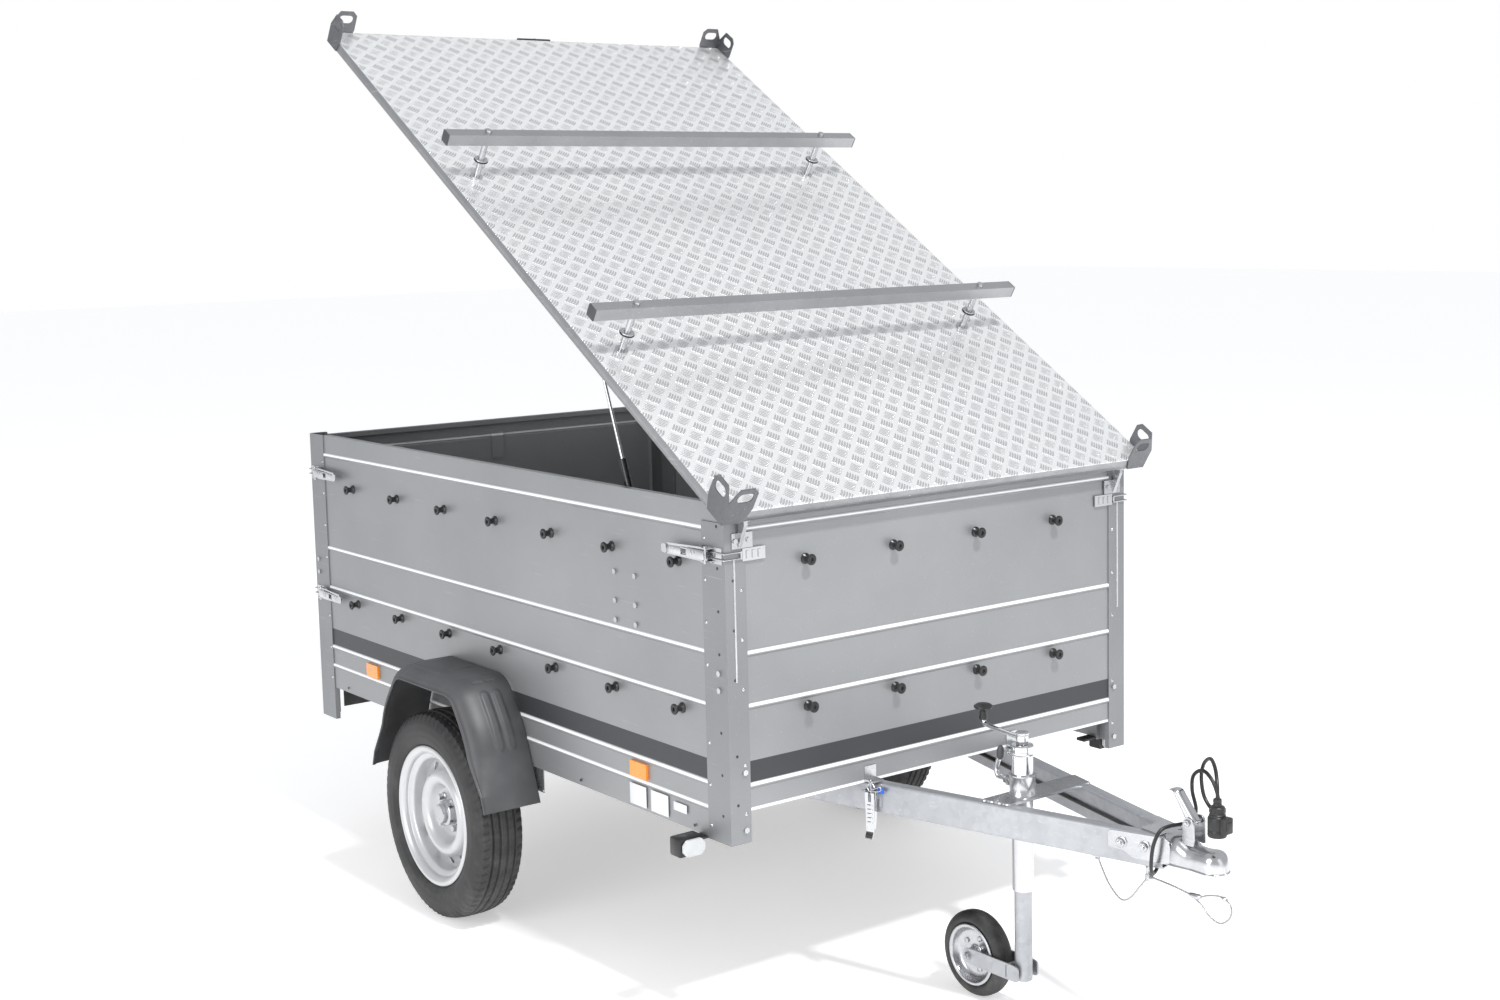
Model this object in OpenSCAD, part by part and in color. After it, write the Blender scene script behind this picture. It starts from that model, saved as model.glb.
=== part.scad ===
// Single-axle box trailer: tipping box on a V drawbar, extension sides, hinged
// tread-plate lid on gas struts, roof bars, jockey wheel and ball coupler.
// Lengths are millimetres. +X points to the coupler, +Y to the left, +Z up.
// The lid is drawn open at the limit of its struts; the ground is z = 0.

/* [Box] */
// Outside length of the box
box_l = 2080; // [1700:10:2500]
// Outside width of the box
box_w = 1250; // [1050:10:1450]
// Height of the lower sides above the frame
lower_h = 293; // [250:1:400]
// Height of the extension sides
upper_h = 393; // [250:1:450]
// Depth of the side lip below the frame
lip_h = 67; // [40:1:100]
// Sheet thickness of the sides
sheet_t = 1.5; // [1:0.1:3]
// Width of the front posts on the side
post_side = 85; // [60:1:110]
// Width of the front posts on the front
post_front = 56; // [40:1:80]
// Width of the rear posts on the rear
post_rear = 50; // [40:1:80]
// Rope knobs in each row of a side
side_knobs = 7; // [3:1:10]
// Spacing of the rope knobs along a side
knob_pitch = 272; // [120:1:300]

/* [Chassis] */
// Height of the drawbar's top above the ground
frame_z = 505; // [450:1:600]
// Height of a drawbar arm
arm_h = 70; // [50:1:90]
// Width of a drawbar arm
arm_w = 34; // [25:1:50]
// Distance of the arm ends ahead of the box centre
nose_x = 1755; // [1600:5:2100]
// Angle of each arm to the centreline, degrees
arm_a = 14.8; // [12:0.1:17]
// Distance of the axle behind the box centre
axle_back = 95; // [0:5:200]
// Side of the square axle tube
axle_tube = 50; // [40:1:70]

/* [Wheels] */
// Tyre outside radius
tyre_r = 272; // [255:1:290]
// Tyre width
tyre_w = 138; // [125:1:145]
// Rim lip radius
rim_r = 182; // [170:1:190]
// Distance of the wheel's middle plane from the centreline beyond the box side
wheel_out = 79; // [76:1:100]
// Jockey wheel radius
jockey_r = 100; // [80:1:110]
// Jockey wheel width
jockey_w = 50; // [40:1:60]
// Distance of the jockey tube ahead of the box centre
jockey_x = 1358; // [1300:1:1450]
// Offset of the jockey tube to the right
jockey_y = 50; // [40:1:55]
// Jockey outer tube radius
jockey_tube_r = 24; // [22:0.5:26]

/* [Lid] */
// Length of the lid
lid_l = 2130; // [1750:10:2560]
// Width of the lid
lid_w = 1310; // [1110:10:1510]
// Depth of the lid's edge flange
flange_h = 30; // [20:1:36]
// Lid sheet thickness
lid_t = 2; // [1.5:0.1:3]
// Opening angle of the lid, degrees
lid_open = 32.6; // [0:0.1:45]
// Height of the roof bars above the lid
bar_h = 130; // [110:5:180]
// Length of a roof bar
bar_l = 1300; // [1100:10:1500]

/* [Hidden] */
$fn = 48;

// Clearances
gap = 0.3;            // between pieces on different bodies
run = 0.05;           // radial clearance of a pin in its bore
door_gap = 3;         // round the tailgates

// Levels
seam_z = frame_z + lower_h;
top_z = seam_z + upper_h;
lip_z = frame_z - lip_h;
rear_post_z = frame_z - 163;
front_post_z = frame_z - 70;

// Box
half_l = box_l / 2;
half_w = box_w / 2;
face_in = 3;          // panel face behind the beads' tops
bead_half = 7;
post_t = 2;
post_return = 14;
post_rear_side = 88;
rim_fold = 22;
rim_drop = 14;
corner_cut = 58;      // front top corner of the extension sides
corner_drop = 41;
lower_beads = [56, 234];
upper_beads = [59, 334];
board_t = 9;
tube_h = 25;
tube_w = 30;
floor_z = frame_z + tube_h;
knob_lower_z = frame_z + 209;
knob_upper_z = seam_z + 250;
front_knob_pitch = 258;
knob_h = 24;

// Drawbar
arm_wall = 3;
nose_half = 24;
arm_back = 128;       // arm length behind the box centre
arm_end_x = -arm_back;
arm_len = (nose_x - arm_end_x) / cos(arm_a);
arm_mid_y = function(x) nose_half + (nose_x - x) * tan(arm_a);
arm_half = arm_w / 2 / cos(arm_a);
plate_t = 6;

// Wheels
axle_x = -axle_back;
wheel_y = half_w + wheel_out;
tube_x = axle_x + 105;
tube_z = frame_z - arm_h - axle_tube / 2;
stub_r = 15;
stub_end = 28;         // stub axle beyond the wheel's middle plane
axle_half = half_w - 24;
hub_r = 48;
rim_seat_r = 165;
bolt_pcd = 98;

// Tipping pivot, below the arms
tip_x = axle_x;
tip_z = 392;
tip_pin_r = 8;
tip_y = arm_mid_y(tip_x) - arm_half;
ear_y = tip_y + 2 * arm_half + 10;
ear_t = 6;

// Lid hinge and closed lid
hinge_x = half_l + 20;
hinge_z = top_z - 31;
hinge_r = 5;
lid_front = hinge_x + 12;     // front edge of the closed lid
lid_top = top_z + gap + lid_t;

// Gas struts: closed pivot on the lid and fixed pivot on the side
strut_y = half_w - 52;
strut_foot_x = half_l - 350;
strut_foot_z = seam_z + 132;
strut_eye_x = hinge_x - 676;
strut_eye_z = hinge_z - 29;
eye_dx = strut_eye_x - hinge_x;
eye_dz = strut_eye_z - hinge_z;
open_eye_x = hinge_x + eye_dx * cos(lid_open) + eye_dz * sin(lid_open);
open_eye_z = hinge_z - eye_dx * sin(lid_open) + eye_dz * cos(lid_open);
strut_len = sqrt(pow(open_eye_x - strut_foot_x, 2) + pow(open_eye_z - strut_foot_z, 2));
strut_lean = atan2(open_eye_x - strut_foot_x, open_eye_z - strut_foot_z);
cyl_r = 9;
rod_r = 4;
cyl_len = 330;

// Coupler
ball_r = 25;
ball_x = nose_x + 108;
ball_z = frame_z - 44;
handle_x = nose_x + 55;
handle_z = frame_z + 38;
handle_pin_r = 5;
tip_nose_x = ball_x + ball_r + 10;

// Jockey wheel
leg_r = 20;
leg_trail = 150;
wheel_x_j = jockey_x - leg_trail;
jockey_top_z = frame_z + 120;
crank_z = jockey_top_z + 12;
jockey_bottom_z = frame_z - 215;
crank_reach = 125;

// Frame: the origin is the middle of the length at ground level
rear_x = -half_l + face_in - knob_h;
frame_x = (tip_nose_x + rear_x) / 2;

module at_frame() { translate([-frame_x, 0, 0]) children(); }

// A child drawn on the right is repeated on the left
module both_sides() {
    children();
    mirror([0, 1, 0]) children();
}

// Extrusion along +X of a profile in (y, z)
module along_x(len) { rotate([90, 0, 90]) linear_extrude(len) children(); }

// Extrusion along +Y of a profile in (x, z)
module along_y(len) { translate([0, len, 0]) rotate([90, 0, 0]) linear_extrude(len) children(); }

// Lid pieces are drawn closed and turned open about the hinge
module opened() {
    translate([hinge_x, 0, hinge_z]) rotate([0, lid_open, 0]) translate([-hinge_x, 0, -hinge_z])
        children();
}

module hex_bolt(r = 8, h = 6) { cylinder(h = h, r = r, $fn = 6); }

module tube_z(r, wall, h) {
    difference() {
        cylinder(h = h, r = r);
        translate([0, 0, -1]) cylinder(h = h + 2, r = r - wall);
    }
}

// ---- Sheet profiles: w is the depth behind the outermost face ----
function bead_out(w, z) = [[w, z - bead_half], [w - face_in, z - bead_half / 2],
                           [w - face_in, z + bead_half / 2], [w, z + bead_half]];
function flat_list(lists) = [for (l = lists) for (p = l) p];
function reversed(l) = [for (i = [len(l) - 1 : -1 : 0]) l[i]];

// Sheet with beads at the given heights and, when fold > 0, a folded rim on top
function panel_points(z0, z1, beads, fold) =
    let (
        face = face_in,
        back = face_in + sheet_t,
        out = concat([[face, z0]], flat_list([for (b = beads) bead_out(face, b)]), [[face, z1]]),
        rim = fold > 0
            ? [[fold, z1], [fold, z1 - rim_drop], [fold - sheet_t, z1 - rim_drop],
               [fold - sheet_t, z1 - sheet_t], [back, z1 - sheet_t]]
            : [[back, z1]],
        in = reversed(concat([[back, z0]], flat_list([for (b = beads) bead_out(back, b)])))
    ) concat(out, rim, in);

module panel_profile(z0, z1, beads, fold = 0) { polygon(panel_points(z0, z1, beads, fold)); }

// ---- Sides ----
module side_lower() {
    translate([-half_l + post_rear_side, -half_w, 0])
        along_x(box_l - post_rear_side - post_side)
            panel_profile(lip_z, seam_z, concat([frame_z], [for (b = lower_beads) frame_z + b]));
}

module side_upper() {
    difference() {
        translate([-half_l + post_rear_side, -half_w, 0])
            along_x(box_l - post_rear_side)
                panel_profile(seam_z, top_z, [for (b = upper_beads) seam_z + b], rim_fold);
        // room for the front post, and the cut corner above it
        translate([half_l - post_side, -half_w - 1, seam_z - 1])
            cube([post_side + 1, rim_fold + 2, upper_h - corner_drop + 1]);
        translate([0, -half_w - 1, 0]) along_y(rim_fold + 2)
            polygon([[half_l - corner_cut, top_z + 1], [half_l + 1, top_z + 1],
                     [half_l + 1, top_z - corner_drop]]);
    }
}

module side_panels_lower() { color("#8b8f94") at_frame() both_sides() side_lower(); }
module side_panels_upper() { color("#94989d") at_frame() both_sides() side_upper(); }

module front_panels() {
    half = half_w - post_front;
    color("#8f9398") at_frame() translate([half_l, -half, 0]) {
        along_y(2 * half) mirror([1, 0])
            panel_profile(frame_z, seam_z, [for (b = lower_beads) frame_z + b]);
        along_y(2 * half) mirror([1, 0])
            panel_profile(seam_z, top_z - 6, [for (b = upper_beads) seam_z + b], rim_fold);
    }
}

// Plan of a corner post with folded edges: side leg along -X, end leg along +Y
module post_plan(side, end) {
    polygon([[0, 0], [-side, 0], [-side, post_return], [-side + post_t, post_return],
             [-side + post_t, post_t], [-post_t, post_t], [-post_t, end - post_t],
             [-post_return, end - post_t], [-post_return, end], [0, end]]);
}

module front_post(z0, z1) {
    translate([half_l, -half_w, z0]) linear_extrude(z1 - z0) post_plan(post_side, post_front);
}

module rear_post(z0, z1) {
    translate([-half_l, -half_w, z0]) linear_extrude(z1 - z0)
        mirror([1, 0]) post_plan(post_rear_side, post_rear);
}

module corner_posts() {
    color("#7f8388") at_frame() both_sides() {
        front_post(front_post_z, seam_z);
        front_post(seam_z, top_z - corner_drop);
        rear_post(rear_post_z, seam_z);
        rear_post(seam_z, top_z);
    }
}

// ---- Tailgates, hinged on pins at their lower corners ----
tail_half = half_w - post_rear - door_gap;
tail_pin_r = 4;
lower_pin_z = frame_z + 10;
upper_pin_z = seam_z + 12;
pin_x = -half_l + 9;

module tailgate(z0, z1, beads, pin_z, fold) {
    difference() {
        union() {
            translate([-half_l, -tail_half, 0]) along_y(2 * tail_half)
                panel_profile(z0, z1, beads, fold);
            for (s = [-1, 1]) {
                translate([-half_l + face_in + sheet_t, s * (tail_half - 1) - 1, z0])
                    cube([rim_fold - face_in - sheet_t, 2, z1 - z0 - sheet_t / 2]);
                translate([pin_x, s * (tail_half - 12), pin_z]) rotate([90, 0, 0])
                    cylinder(h = 20, r = tail_pin_r + 4, center = true);
            }
        }
        translate([pin_x, 0, pin_z]) rotate([90, 0, 0])
            cylinder(h = 2 * tail_half + 10, r = tail_pin_r + run, center = true);
    }
}

module knob() {
    rotate_extrude($fn = 24)
        polygon([[0, 0], [12, 0], [12, 3], [8, 6], [6.5, 12], [7.5, knob_h - 6],
                 [12, knob_h - 3], [12, knob_h], [5, knob_h], [4, knob_h - 3],
                 [0, knob_h - 3]]);
}

// Knobs on the rear face of a tailgate
module rear_knobs(z) {
    for (i = [-1.5 : 1 : 1.5])
        translate([-half_l + face_in, i * front_knob_pitch, z]) rotate([0, -90, 0]) knob();
}

module tailgate_lower() {
    color("#8b8f94") at_frame() {
        tailgate(frame_z + 1, seam_z - 1.5, [for (b = lower_beads) frame_z + b], lower_pin_z,
                 rim_fold);
        rear_knobs(knob_lower_z);
    }
}

module tailgate_upper() {
    color("#94989d") at_frame() {
        tailgate(seam_z + 1.5, top_z - 6, [for (b = upper_beads) seam_z + b], upper_pin_z, rim_fold);
        rear_knobs(knob_upper_z);
        // striker of the lid lock on the inner face
        translate([-half_l + face_in + sheet_t, -20, top_z - 130]) cube([6, 40, 80]);
    }
}

module rope_knobs() {
    color("#141414") at_frame() {
        both_sides() for (i = [0 : side_knobs - 1], z = [knob_lower_z, knob_upper_z])
            translate([(i - (side_knobs - 1) / 2) * knob_pitch + 45, -half_w + face_in, z])
                rotate([90, 0, 0]) knob();
        for (i = [-1.5 : 1 : 1.5], z = [knob_lower_z, knob_upper_z])
            translate([half_l - face_in, i * front_knob_pitch - 15, z]) rotate([0, 90, 0]) knob();
    }
}

// ---- Floor ----
module floor_frame() {
    frame_l = box_l - 58;
    frame_w = box_w - 2 * post_return;
    step = (frame_l - tube_w) / 5;
    color("#9a9da0") at_frame() translate([-frame_l / 2, -frame_w / 2, frame_z]) {
        for (y = [0, frame_w - tube_w]) translate([0, y, 0]) cube([frame_l, tube_w, tube_h]);
        for (i = [0 : 5])
            translate([i * step, tube_w, 0]) cube([tube_w, frame_w - 2 * tube_w, tube_h]);
    }
}

module floor_board() {
    board_l = box_l - 56;
    board_w = box_w - 2 * post_return - 2;
    color("#6b4a32") at_frame() translate([-board_l / 2, -board_w / 2, floor_z])
        cube([board_l, board_w, board_t]);
}

// ---- Drawbar ----
module arm() {
    translate([nose_x, -nose_half, frame_z - arm_h]) rotate([0, 0, 180 + arm_a]) difference() {
        translate([0, -arm_w / 2, 0]) cube([arm_len, arm_w, arm_h]);
        translate([-1, -arm_w / 2 + arm_wall, arm_wall])
            cube([arm_len + 2, arm_w - 2 * arm_wall, arm_h - 2 * arm_wall]);
    }
}

module drawbar_arms() { color("#8e9196") at_frame() both_sides() arm(); }

plate_back = jockey_x - 32;
plate_front = jockey_x + 38;
clamp_r = jockey_tube_r + run + 7;
clamp_h = 46;

// Plate welded across the arms, with the jockey wheel's clamp socket
module cross_plate() {
    out_b = arm_mid_y(plate_back) + 8;
    out_f = arm_mid_y(plate_front) + 8;
    color("#b9bcc0") at_frame() difference() {
        union() {
            translate([0, 0, frame_z]) linear_extrude(plate_t)
                polygon([[plate_back, -out_b], [plate_front, -out_f],
                         [plate_front, out_f], [plate_back, out_b]]);
            translate([jockey_x, -jockey_y, frame_z]) cylinder(h = clamp_h, r = clamp_r);
            translate([jockey_x - clamp_r - 16, -jockey_y - 10, frame_z + 18]) cube([26, 20, 22]);
        }
        translate([jockey_x, -jockey_y, frame_z - 1])
            cylinder(h = clamp_h + 2, r = jockey_tube_r + run);
        translate([jockey_x - clamp_r - 30, -jockey_y, frame_z + 29]) rotate([0, 90, 0])
            cylinder(h = clamp_r + 30, r = clamp_screw_r + run);
    }
}

clamp_screw_r = 5;
clamp_screw_end = jockey_x - jockey_tube_r - run - 0.4;
module jockey_clamp_lever() {
    x0 = jockey_x - clamp_r - 44;
    color("#c9ccd0") at_frame() translate([0, -jockey_y, frame_z + 29]) {
        translate([x0, 0, 0]) rotate([0, 90, 0])
            cylinder(h = clamp_screw_end - x0, r = clamp_screw_r);
        translate([x0, 0, -14]) cylinder(h = 84, r = 6);
        translate([x0, 0, 20]) cylinder(h = 52, r = 8);
    }
}

// Axle tube under the arms, with its mounting pads and two gussets
module axle_beam() {
    pad_y = arm_mid_y(tube_x);
    color("#1b1c1e") at_frame() {
        translate([tube_x - axle_tube / 2, -axle_half, tube_z - axle_tube / 2]) difference() {
            cube([axle_tube, 2 * axle_half, axle_tube]);
            translate([4, -1, 4])
                cube([axle_tube - 8, 2 * axle_half + 2, axle_tube - 8]);
        }
        both_sides() for (x = [-axle_tube / 2 - 5, axle_tube / 2])
            translate([tube_x + x, -pad_y - 22, tube_z - axle_tube / 2])
                cube([5, 44, axle_tube]);
    }
}

// Swing arms of the torsion axle with the stub axles
module stub_arm() {
    swing_t = 14;
    dx = tube_x - axle_x;
    dz = tube_z - tyre_r;
    reach = sqrt(dx * dx + dz * dz);
    translate([axle_x, -axle_half, tyre_r]) {
        rotate([90, 0, 0]) cylinder(h = wheel_y + stub_end - axle_half, r = stub_r);
        rotate([0, -atan2(dz, dx), 0]) translate([-20, -swing_t, -20])
            cube([reach + 40, swing_t, 40]);
    }
    // inner square bar of the rubber suspension
    translate([tube_x - 12, -axle_half, tube_z - 12]) cube([24, 150, 24]);
}

module stub_arms() { color("#26272a") at_frame() both_sides() stub_arm(); }

// Brackets under the arms with the pivots of the tipping box, and the tipping
// latches' bases on the arms' outer faces
tip_latch_x = half_l + 14;
tip_latch_y = arm_mid_y(tip_latch_x) + arm_half;
tip_lever_z = frame_z - 24;
tip_pivot_out = 13;    // pivot beyond the arm's outer face
tip_lever_top = 5;
eye_bolt_r = 2.5;
module tipping_brackets() {
    color("#a9acb0") at_frame() both_sides() {
        translate([tip_x, -tip_y - 10, 0]) difference() {
            translate([-32, 0, tip_z - 22]) cube([64, 8, frame_z - arm_h - tip_z + 22]);
            translate([0, -1, tip_z]) rotate([-90, 0, 0]) cylinder(h = 10, r = tip_pin_r);
        }
        translate([tip_x, -tip_y + 14, tip_z]) rotate([90, 0, 0])
            cylinder(h = ear_y + ear_t + 18 - tip_y, r = tip_pin_r);
        translate([tip_latch_x, -tip_latch_y, 0]) rotate([0, 0, arm_a]) {
            translate([-22, -3, frame_z - 54]) cube([44, 3, 50]);
            for (x = [-17, 14]) translate([x, -18, tip_lever_z - 10]) cube([3, 15, 20]);
            translate([-19, -tip_pivot_out, tip_lever_z]) rotate([0, 90, 0])
                cylinder(h = 38, r = 3);
            translate([0, -tip_pivot_out, tip_lever_z])
                cylinder(h = frame_z + 3.5 - tip_lever_z, r = eye_bolt_r);
        }
    }
}

// Hanging lever of a tipping latch, on the right
module tip_lever() {
    translate([tip_latch_x, -tip_latch_y, 0]) rotate([0, 0, arm_a]) difference() {
        union() {
            translate([-13, -20, tip_lever_z - 84]) cube([26, 3, 84 + tip_lever_top]);
            for (x = [-13, 10]) translate([x, -20, tip_lever_z - 60])
                cube([3, 14, 60 + tip_lever_top]);
            translate([-11, -24, tip_lever_z - 102]) cube([22, 4, 24]);
        }
        translate([-20, -tip_pivot_out, tip_lever_z]) rotate([0, 90, 0])
            cylinder(h = 40, r = 3 + run);
        // slot the eye bolt passes through as the lever swings up
        translate([-eye_bolt_r - 1, -21, tip_lever_z - 22])
            cube([2 * eye_bolt_r + 2, 5, 23 + tip_lever_top]);
    }
}
module tip_lever_right() { color("#b4b7bb") at_frame() tip_lever(); }
module tip_lever_left() { color("#b4b7bb") at_frame() mirror([0, 1, 0]) tip_lever(); }

// ---- Coupler ----
cheek_t = 3;
module coupler_body() {
    color("#d0d3d6") at_frame() {
        difference() {
            union() {
                // cheeks along the arms
                both_sides() translate([nose_x, -nose_half - arm_half, 0]) rotate([0, 0, arm_a])
                    translate([-118, -cheek_t, frame_z - arm_h + 12])
                        cube([140, cheek_t, arm_h - 9]);
                // top web over the arm ends and neck
                translate([nose_x - 8, -38, frame_z + gap]) cube([60, 76, cheek_t]);
                hull() {
                    translate([nose_x + 12, -36, frame_z - 46]) cube([4, 72, 46 + cheek_t]);
                    translate([ball_x, 0, ball_z - 6]) cylinder(h = 40, r = ball_r + 7);
                }
                translate([ball_x, 0, ball_z - 12]) cylinder(h = 8, r = ball_r + 10);
                for (y = [-20, 16]) translate([handle_x - 14, y, frame_z - 4])
                    cube([30, 4, handle_z - frame_z + 14]);
            }
            translate([ball_x, 0, ball_z - 20]) cylinder(h = 30, r = ball_r + 0.5);
            translate([ball_x, 0, ball_z + 10]) sphere(r = ball_r + 0.5);
            translate([nose_x + 4, -33, frame_z - 60]) cube([60, 66, 60 - 6]);
            translate([handle_x - 9, -12, frame_z - 30]) cube([18, 24, 60]);
        }
        translate([handle_x, -22, handle_z]) rotate([-90, 0, 0])
            cylinder(h = 44, r = handle_pin_r);
    }
}

// Raised release handle; its pin runs through the ears
module coupler_handle() {
    w = 26;
    color("#d6d8db") at_frame() difference() {
        translate([handle_x, 0, handle_z]) rotate([0, -130, 0]) union() {
            translate([0, w / 2, 0]) rotate([90, 0, 0]) cylinder(h = w, r = 12);
            translate([0, -w / 2, -12]) cube([74, w, 5]);
            for (y = [-w / 2, w / 2 - 4]) translate([0, y, -12]) cube([66, 4, 20]);
            translate([70, -w / 2, -12]) rotate([0, -28, 0]) cube([32, w, 6]);
        }
        translate([handle_x, -w, handle_z]) rotate([-90, 0, 0])
            cylinder(h = 2 * w, r = handle_pin_r + run);
    }
}

bolt_xs = [nose_x - 84, nose_x - 32];
module coupler_bolts() {
    color("#c4c7ca") at_frame() for (x = bolt_xs) {
        y = arm_mid_y(x) + arm_half + cheek_t / cos(arm_a);
        both_sides() translate([x, -y, frame_z - 26]) rotate([90, 0, arm_a]) hex_bolt(11, 8);
        translate([x, 0, frame_z - 26]) rotate([90, 0, 0])
            cylinder(h = 2 * (arm_mid_y(x + 6) - arm_half), r = 6, center = true);
    }
}

// ---- Jockey wheel ----
module jockey_outer_tube() {
    color("#c0c3c7") at_frame() translate([jockey_x, -jockey_y, 0]) {
        translate([0, 0, jockey_bottom_z])
            tube_z(jockey_tube_r, 3, jockey_top_z - 8 - jockey_bottom_z);
        translate([0, 0, jockey_top_z - 8]) difference() {
            cylinder(h = 8, r = jockey_tube_r + 2);
            translate([0, 0, -1]) cylinder(h = 10, r = 8 + run);
        }
    }
}

leg_top_z = frame_z - 60;
fork_t = 4;
axle_j_r = 6;
module jockey_leg() {
    fork_in = jockey_w / 2 + 4;
    color("#a4a7ab") at_frame() translate([jockey_x, -jockey_y, 0]) {
        translate([0, 0, jockey_r - 20]) difference() {
            cylinder(h = leg_top_z - jockey_r + 20, r = leg_r);
            translate([0, 0, 20]) cylinder(h = leg_top_z, r = 12);
        }
        for (s = [-1, 1]) translate([-leg_trail - 14, s * (fork_in + fork_t / 2) - fork_t / 2,
                                     jockey_r - 16])
            cube([leg_trail + 14, fork_t, 32]);
        translate([-22, -fork_in, jockey_r - 16]) cube([fork_t, 2 * fork_in, 32]);
        translate([-leg_trail, 0, jockey_r]) rotate([90, 0, 0]) {
            cylinder(h = 2 * fork_in, r = axle_j_r, center = true);
            for (z = [-fork_in - fork_t - 7, fork_in + fork_t]) translate([0, 0, z]) hex_bolt(9, 7);
        }
    }
}

module jockey_tyre() {
    r0 = jockey_r - 32;
    b = jockey_w / 2;
    color("#161616") at_frame() translate([wheel_x_j, -jockey_y, jockey_r]) rotate([90, 0, 0])
        rotate_extrude($fn = 64)
            polygon([[r0, -b + 8], [r0 + 10, -b], [jockey_r - 14, -b + 2], [jockey_r - 4, -b + 9],
                     [jockey_r, -b + 18], [jockey_r, b - 18], [jockey_r - 4, b - 9],
                     [jockey_r - 14, b - 2], [r0 + 10, b], [r0, b - 8]]);
}

module jockey_rim() {
    r0 = jockey_r - 32;
    b = jockey_w / 2;
    color("#b5b8bc") at_frame() translate([wheel_x_j, -jockey_y, jockey_r]) rotate([90, 0, 0])
        difference() {
            rotate_extrude($fn = 64)
                polygon([[axle_j_r + run, -b], [14, -b], [18, -6], [r0 - 8, -4], [r0 - 6, -b + 4],
                         [r0 + 4, -b - 1], [r0, -b + 8], [r0, b - 8], [r0 + 4, b + 1],
                         [r0 - 6, b - 4], [r0 - 8, 4], [18, 6], [14, b], [axle_j_r + run, b]]);
            for (i = [0 : 5]) rotate([0, 0, i * 60]) translate([36, 0, 0])
                cylinder(h = jockey_w, r = 7, center = true);
        }
}

module jockey_crank() {
    color("#c3c6ca") at_frame() translate([jockey_x, -jockey_y, 0]) {
        translate([0, 0, leg_top_z - 60]) cylinder(h = crank_z - leg_top_z + 60, r = 8);
        translate([0, 0, jockey_top_z + gap]) cylinder(h = 26, r = 14);
        translate([0, 0, crank_z + 4]) rotate([0, -88, 0]) cylinder(h = crank_reach, r = 6);
        translate([-crank_reach, 0, crank_z + 2]) cylinder(h = 24, r = 5);
        translate([-crank_reach, 0, crank_z + 26]) rotate_extrude($fn = 32)
            polygon([[0, 0], [9, 0], [11, 14], [21, 20], [22, 26], [14, 32], [0, 34]]);
    }
}

// ---- Road wheels, drawn on the right about the stub axle ----
module wheel_place() { translate([axle_x, -wheel_y, tyre_r]) rotate([90, 0, 0]) children(); }

module tyre() {
    b = tyre_w / 2;
    tread = b - 16;
    wheel_place() rotate_extrude($fn = 96)
        polygon([[rim_seat_r, -b + 16], [rim_r + 1, -b + 16], [rim_r + 6, -b + 8], [rim_r + 26, -b],
                 [tyre_r - 44, -b + 1], [tyre_r - 20, -b + 7], [tyre_r - 7, -tread - 3],
                 [tyre_r, -tread + 8], [tyre_r, tread - 8], [tyre_r - 7, tread + 3],
                 [tyre_r - 20, b - 7], [tyre_r - 44, b - 1], [rim_r + 26, b],
                 [rim_r + 6, b - 8], [rim_r + 1, b - 16], [rim_seat_r, b - 16]]);
}

// Dish, well and lips of the rim; z is outwards
module rim() {
    b = tyre_w / 2;
    seat = rim_seat_r - 0.2;
    lip_in = 15.8;         // the bead's own seat, just outside the tyre
    wheel_place() difference() {
        rotate_extrude($fn = 96)
            polygon([[34, 6], [66, 6], [78, 30], [94, 38], [108, 34], [118, 14], [146, 4],
                     [148, 44], [160, b - 13], [rim_r, b - 11], [rim_r, b - lip_in],
                     [seat, b - lip_in], [seat, -b + lip_in], [rim_r, -b + lip_in],
                     [rim_r, -b + 11], [160, -b + 13], [143, -40], [143, -2], [116, 9],
                     [104, 28], [94, 32], [82, 26], [70, 1], [34, 1]]);
        for (i = [0 : 11]) rotate([0, 0, i * 30]) translate([128, 0, -10])
            cylinder(h = 40, r = 11);
        for (i = [0 : 3]) rotate([0, 0, i * 90 + 45]) translate([bolt_pcd / 2, 0, -4])
            cylinder(h = 20, r = 7);
    }
}

module hub() {
    wheel_place() {
        difference() {
            union() {
                translate([0, 0, -26]) cylinder(h = 27, r = hub_r + 14);
                translate([0, 0, 1]) cylinder(h = 24, r = 33.5);
                translate([0, 0, 25]) cylinder(h = 14, r = 26);
            }
            translate([0, 0, -30]) cylinder(h = 30 + stub_end + 0.5, r = stub_r + run);
        }
        for (i = [0 : 3]) rotate([0, 0, i * 90 + 45]) translate([bolt_pcd / 2, 0, 1]) {
            cylinder(h = 5, r = 6.5);
            translate([0, 0, 5]) hex_bolt(10, 14);
        }
    }
}

module tyre_right() { color("#17181a") at_frame() tyre(); }
module rim_right() { color("#b7babd") at_frame() rim(); }
module hub_right() { color("#8a8c90") at_frame() hub(); }
module tyre_left() { color("#17181a") at_frame() mirror([0, 1, 0]) tyre(); }
module rim_left() { color("#b7babd") at_frame() mirror([0, 1, 0]) rim(); }
module hub_left() { color("#8a8c90") at_frame() mirror([0, 1, 0]) hub(); }

// ---- Mudguards: a faceted shell whose top slopes to the outer edge ----
guard_in = half_w;
guard_out = wheel_y + tyre_w / 2 + 12;
guard_t = 4;
guard_back = axle_x - 308;
guard_front = axle_x + 322;
guard_low = tyre_r + 80;
guard_top = tyre_r + 384;
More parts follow.
